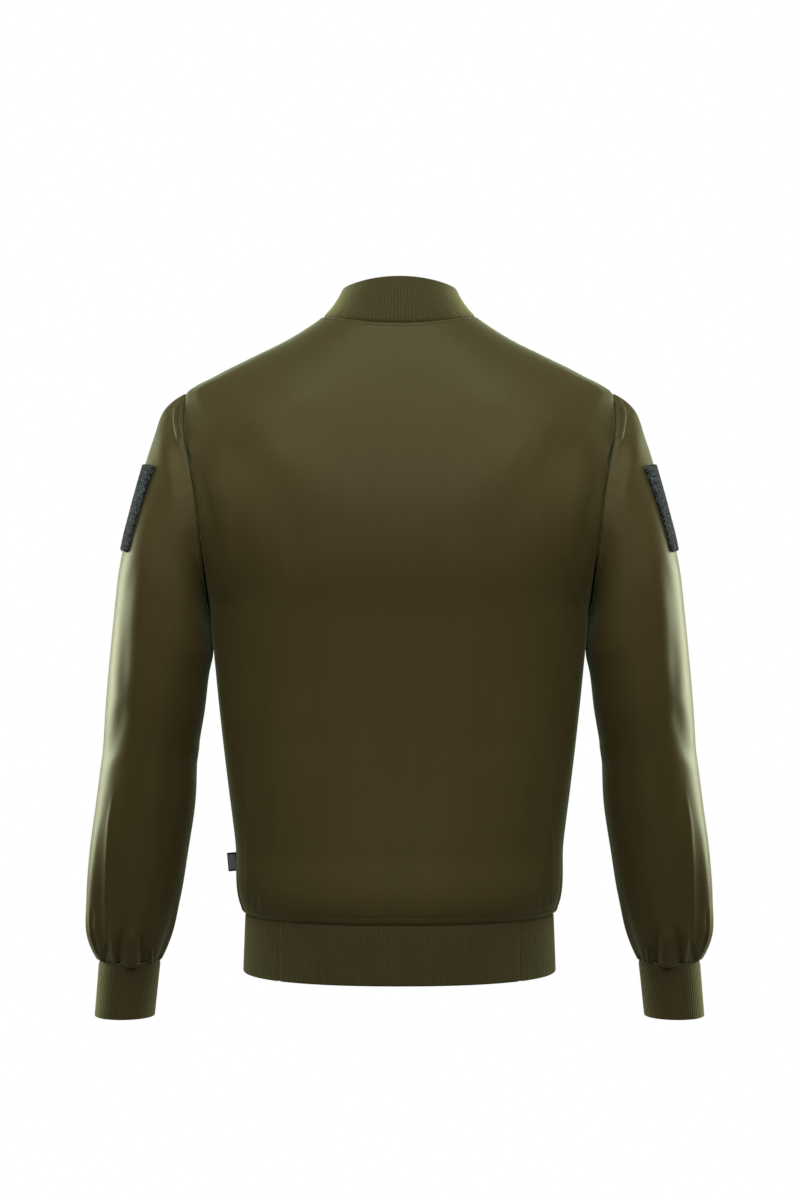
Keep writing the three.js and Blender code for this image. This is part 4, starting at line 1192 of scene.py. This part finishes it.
for i, place in enumerate(middles):
    ahead = Vector(middles[min(i + 1, count - 1)] - middles[max(i - 1, 0)]).normalized()
    outward = Vector((1, 0, 0)).cross(ahead)
    outward = -outward if outward.y > 0 else outward
    way = 1 if i % 2 else -1
    sideways = Vector((way * (TOOTH_REACH / 2 - TOOTH_PAST), 0, 0))
    centre = Vector(place) + sideways - outward * TOOTH_DEPTH / 2
    turn = Matrix((Vector((1, 0, 0)), outward, ahead)).transposed().to_4x4()
    size = Matrix.Diagonal((TOOTH_REACH, TOOTH_DEPTH, TOOTH_HEIGHT, 1))
    bmesh.ops.create_cube(bm, size=1, matrix=Matrix.Translation(centre) @ turn @ size)
bmesh.ops.bevel(
    bm, geom=bm.edges[:], offset=TOOTH_EDGE, segments=1, profile=0.5, affect="EDGES", material=-1
)
bmesh.ops.recalc_face_normals(bm, faces=bm.faces)
teeth = finished("zip_chain", bm, gunmetal, smooth=False)
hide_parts("zip_teeth")
print("zip teeth:", count)

# %% Slider and pull
for name in ("zip_slider", "zip_pull"):
    nodes[name].data.materials.clear()
    nodes[name].data.materials.append(gunmetal)

# %% [markdown]
# ## Stitches
# A stitch is a short rounded thread that sinks into the cloth at both ends. The lines follow the edges of
# the finished panels: below the collar, above the waistband and beside the zip.

# %% Stitches
STITCH_HALF = 1.2 * MM
STITCH_THICK = 0.27 * MM
STITCH_LIFT = 0.05 * MM
BATCH = 24


def beside_edge(points, edge, distance):
    """A line on the cloth at a distance from one of its edges: left, right, low or high."""
    order = {"left": 0, "right": 1, "low": 2, "high": 3}
    away = from_edges(points)[order[edge]]
    if edge in ("low", "high"):
        away = away.T
        points = points.transpose(1, 0, 2)
    line = []
    for row, distances in zip(points, away):
        if distances[-1] < distances[0]:
            row, distances = row[::-1], distances[::-1]
        if distances[-1] > distance:
            line.append([np.interp(distance, distances, row[:, axis]) for axis in range(3)])
    return np.array(line)


def at_length(line, knots, place):
    """What a line of points or directions has at a length along it."""
    return Vector([np.interp(place, knots, line[:, axis]) for axis in range(3)])


def stitches(name, lines):
    """One object with a stitch at each pitch along lines, which come with the cloth's outward side."""
    batch = bpy.data.meshes.new("stitch_batch")
    whole = bmesh.new()
    for line, outward in lines:
        knots = lengths(line)
        count = max(2, int(knots[-1] / STITCH_PITCH))
        places = np.linspace(STITCH_PITCH / 2, knots[-1] - STITCH_PITCH / 2, count)
        bm = bmesh.new()
        for number, place in enumerate(places, 1):
            first = at_length(line, knots, place - STITCH_HALF)
            last = at_length(line, knots, place + STITCH_HALF)
            ahead = (last - first).normalized()
            out = at_length(outward, knots, place)
            out = (out - ahead * out.dot(ahead)).normalized()
            turn = Matrix((ahead, out.cross(ahead), out)).transposed().to_4x4()
            size = Matrix.Diagonal((STITCH_HALF, STITCH_THICK, STITCH_THICK, 1))
            centre = at_length(line, knots, place) + out * STITCH_LIFT
            matrix = Matrix.Translation(centre) @ turn @ size
            bmesh.ops.create_uvsphere(bm, u_segments=8, v_segments=4, radius=1, matrix=matrix)
            if number % BATCH == 0 or number == count:
                bm.to_mesh(batch)
                whole.from_mesh(batch)
                bm.clear()
        bm.free()
    bpy.data.meshes.remove(batch)
    print(name, "has", len(whole.faces), "faces")
    finished(name, whole, thread)


def cloth_line(points, edge, distance):
    """A line beside an edge with the outward side of the nearest points."""
    line = beside_edge(points, edge, distance)
    normal = outwards(points).reshape(-1, 3)
    flat = points.reshape(-1, 3)
    near = [np.argmin(((flat - place) ** 2).sum(axis=1)) for place in line]
    return line, normal[near]


neck_lines = [cloth_line(back_points, "high", NECK_LINE)]
hem_lines = [cloth_line(back_points, "low", HEM_LINE)]
zip_lines = []
for word in ("left", "right"):
    neck_lines.append(cloth_line(front_points[word], "high", NECK_LINE))
    hem_lines.append(cloth_line(front_points[word], "low", HEM_LINE))
    zip_lines.append(cloth_line(front_points[word], "right", ZIP_LINE))
stitches("neck_stitches", neck_lines)
stitches("hem_stitches", hem_lines)
stitches("zip_stitches", zip_lines)
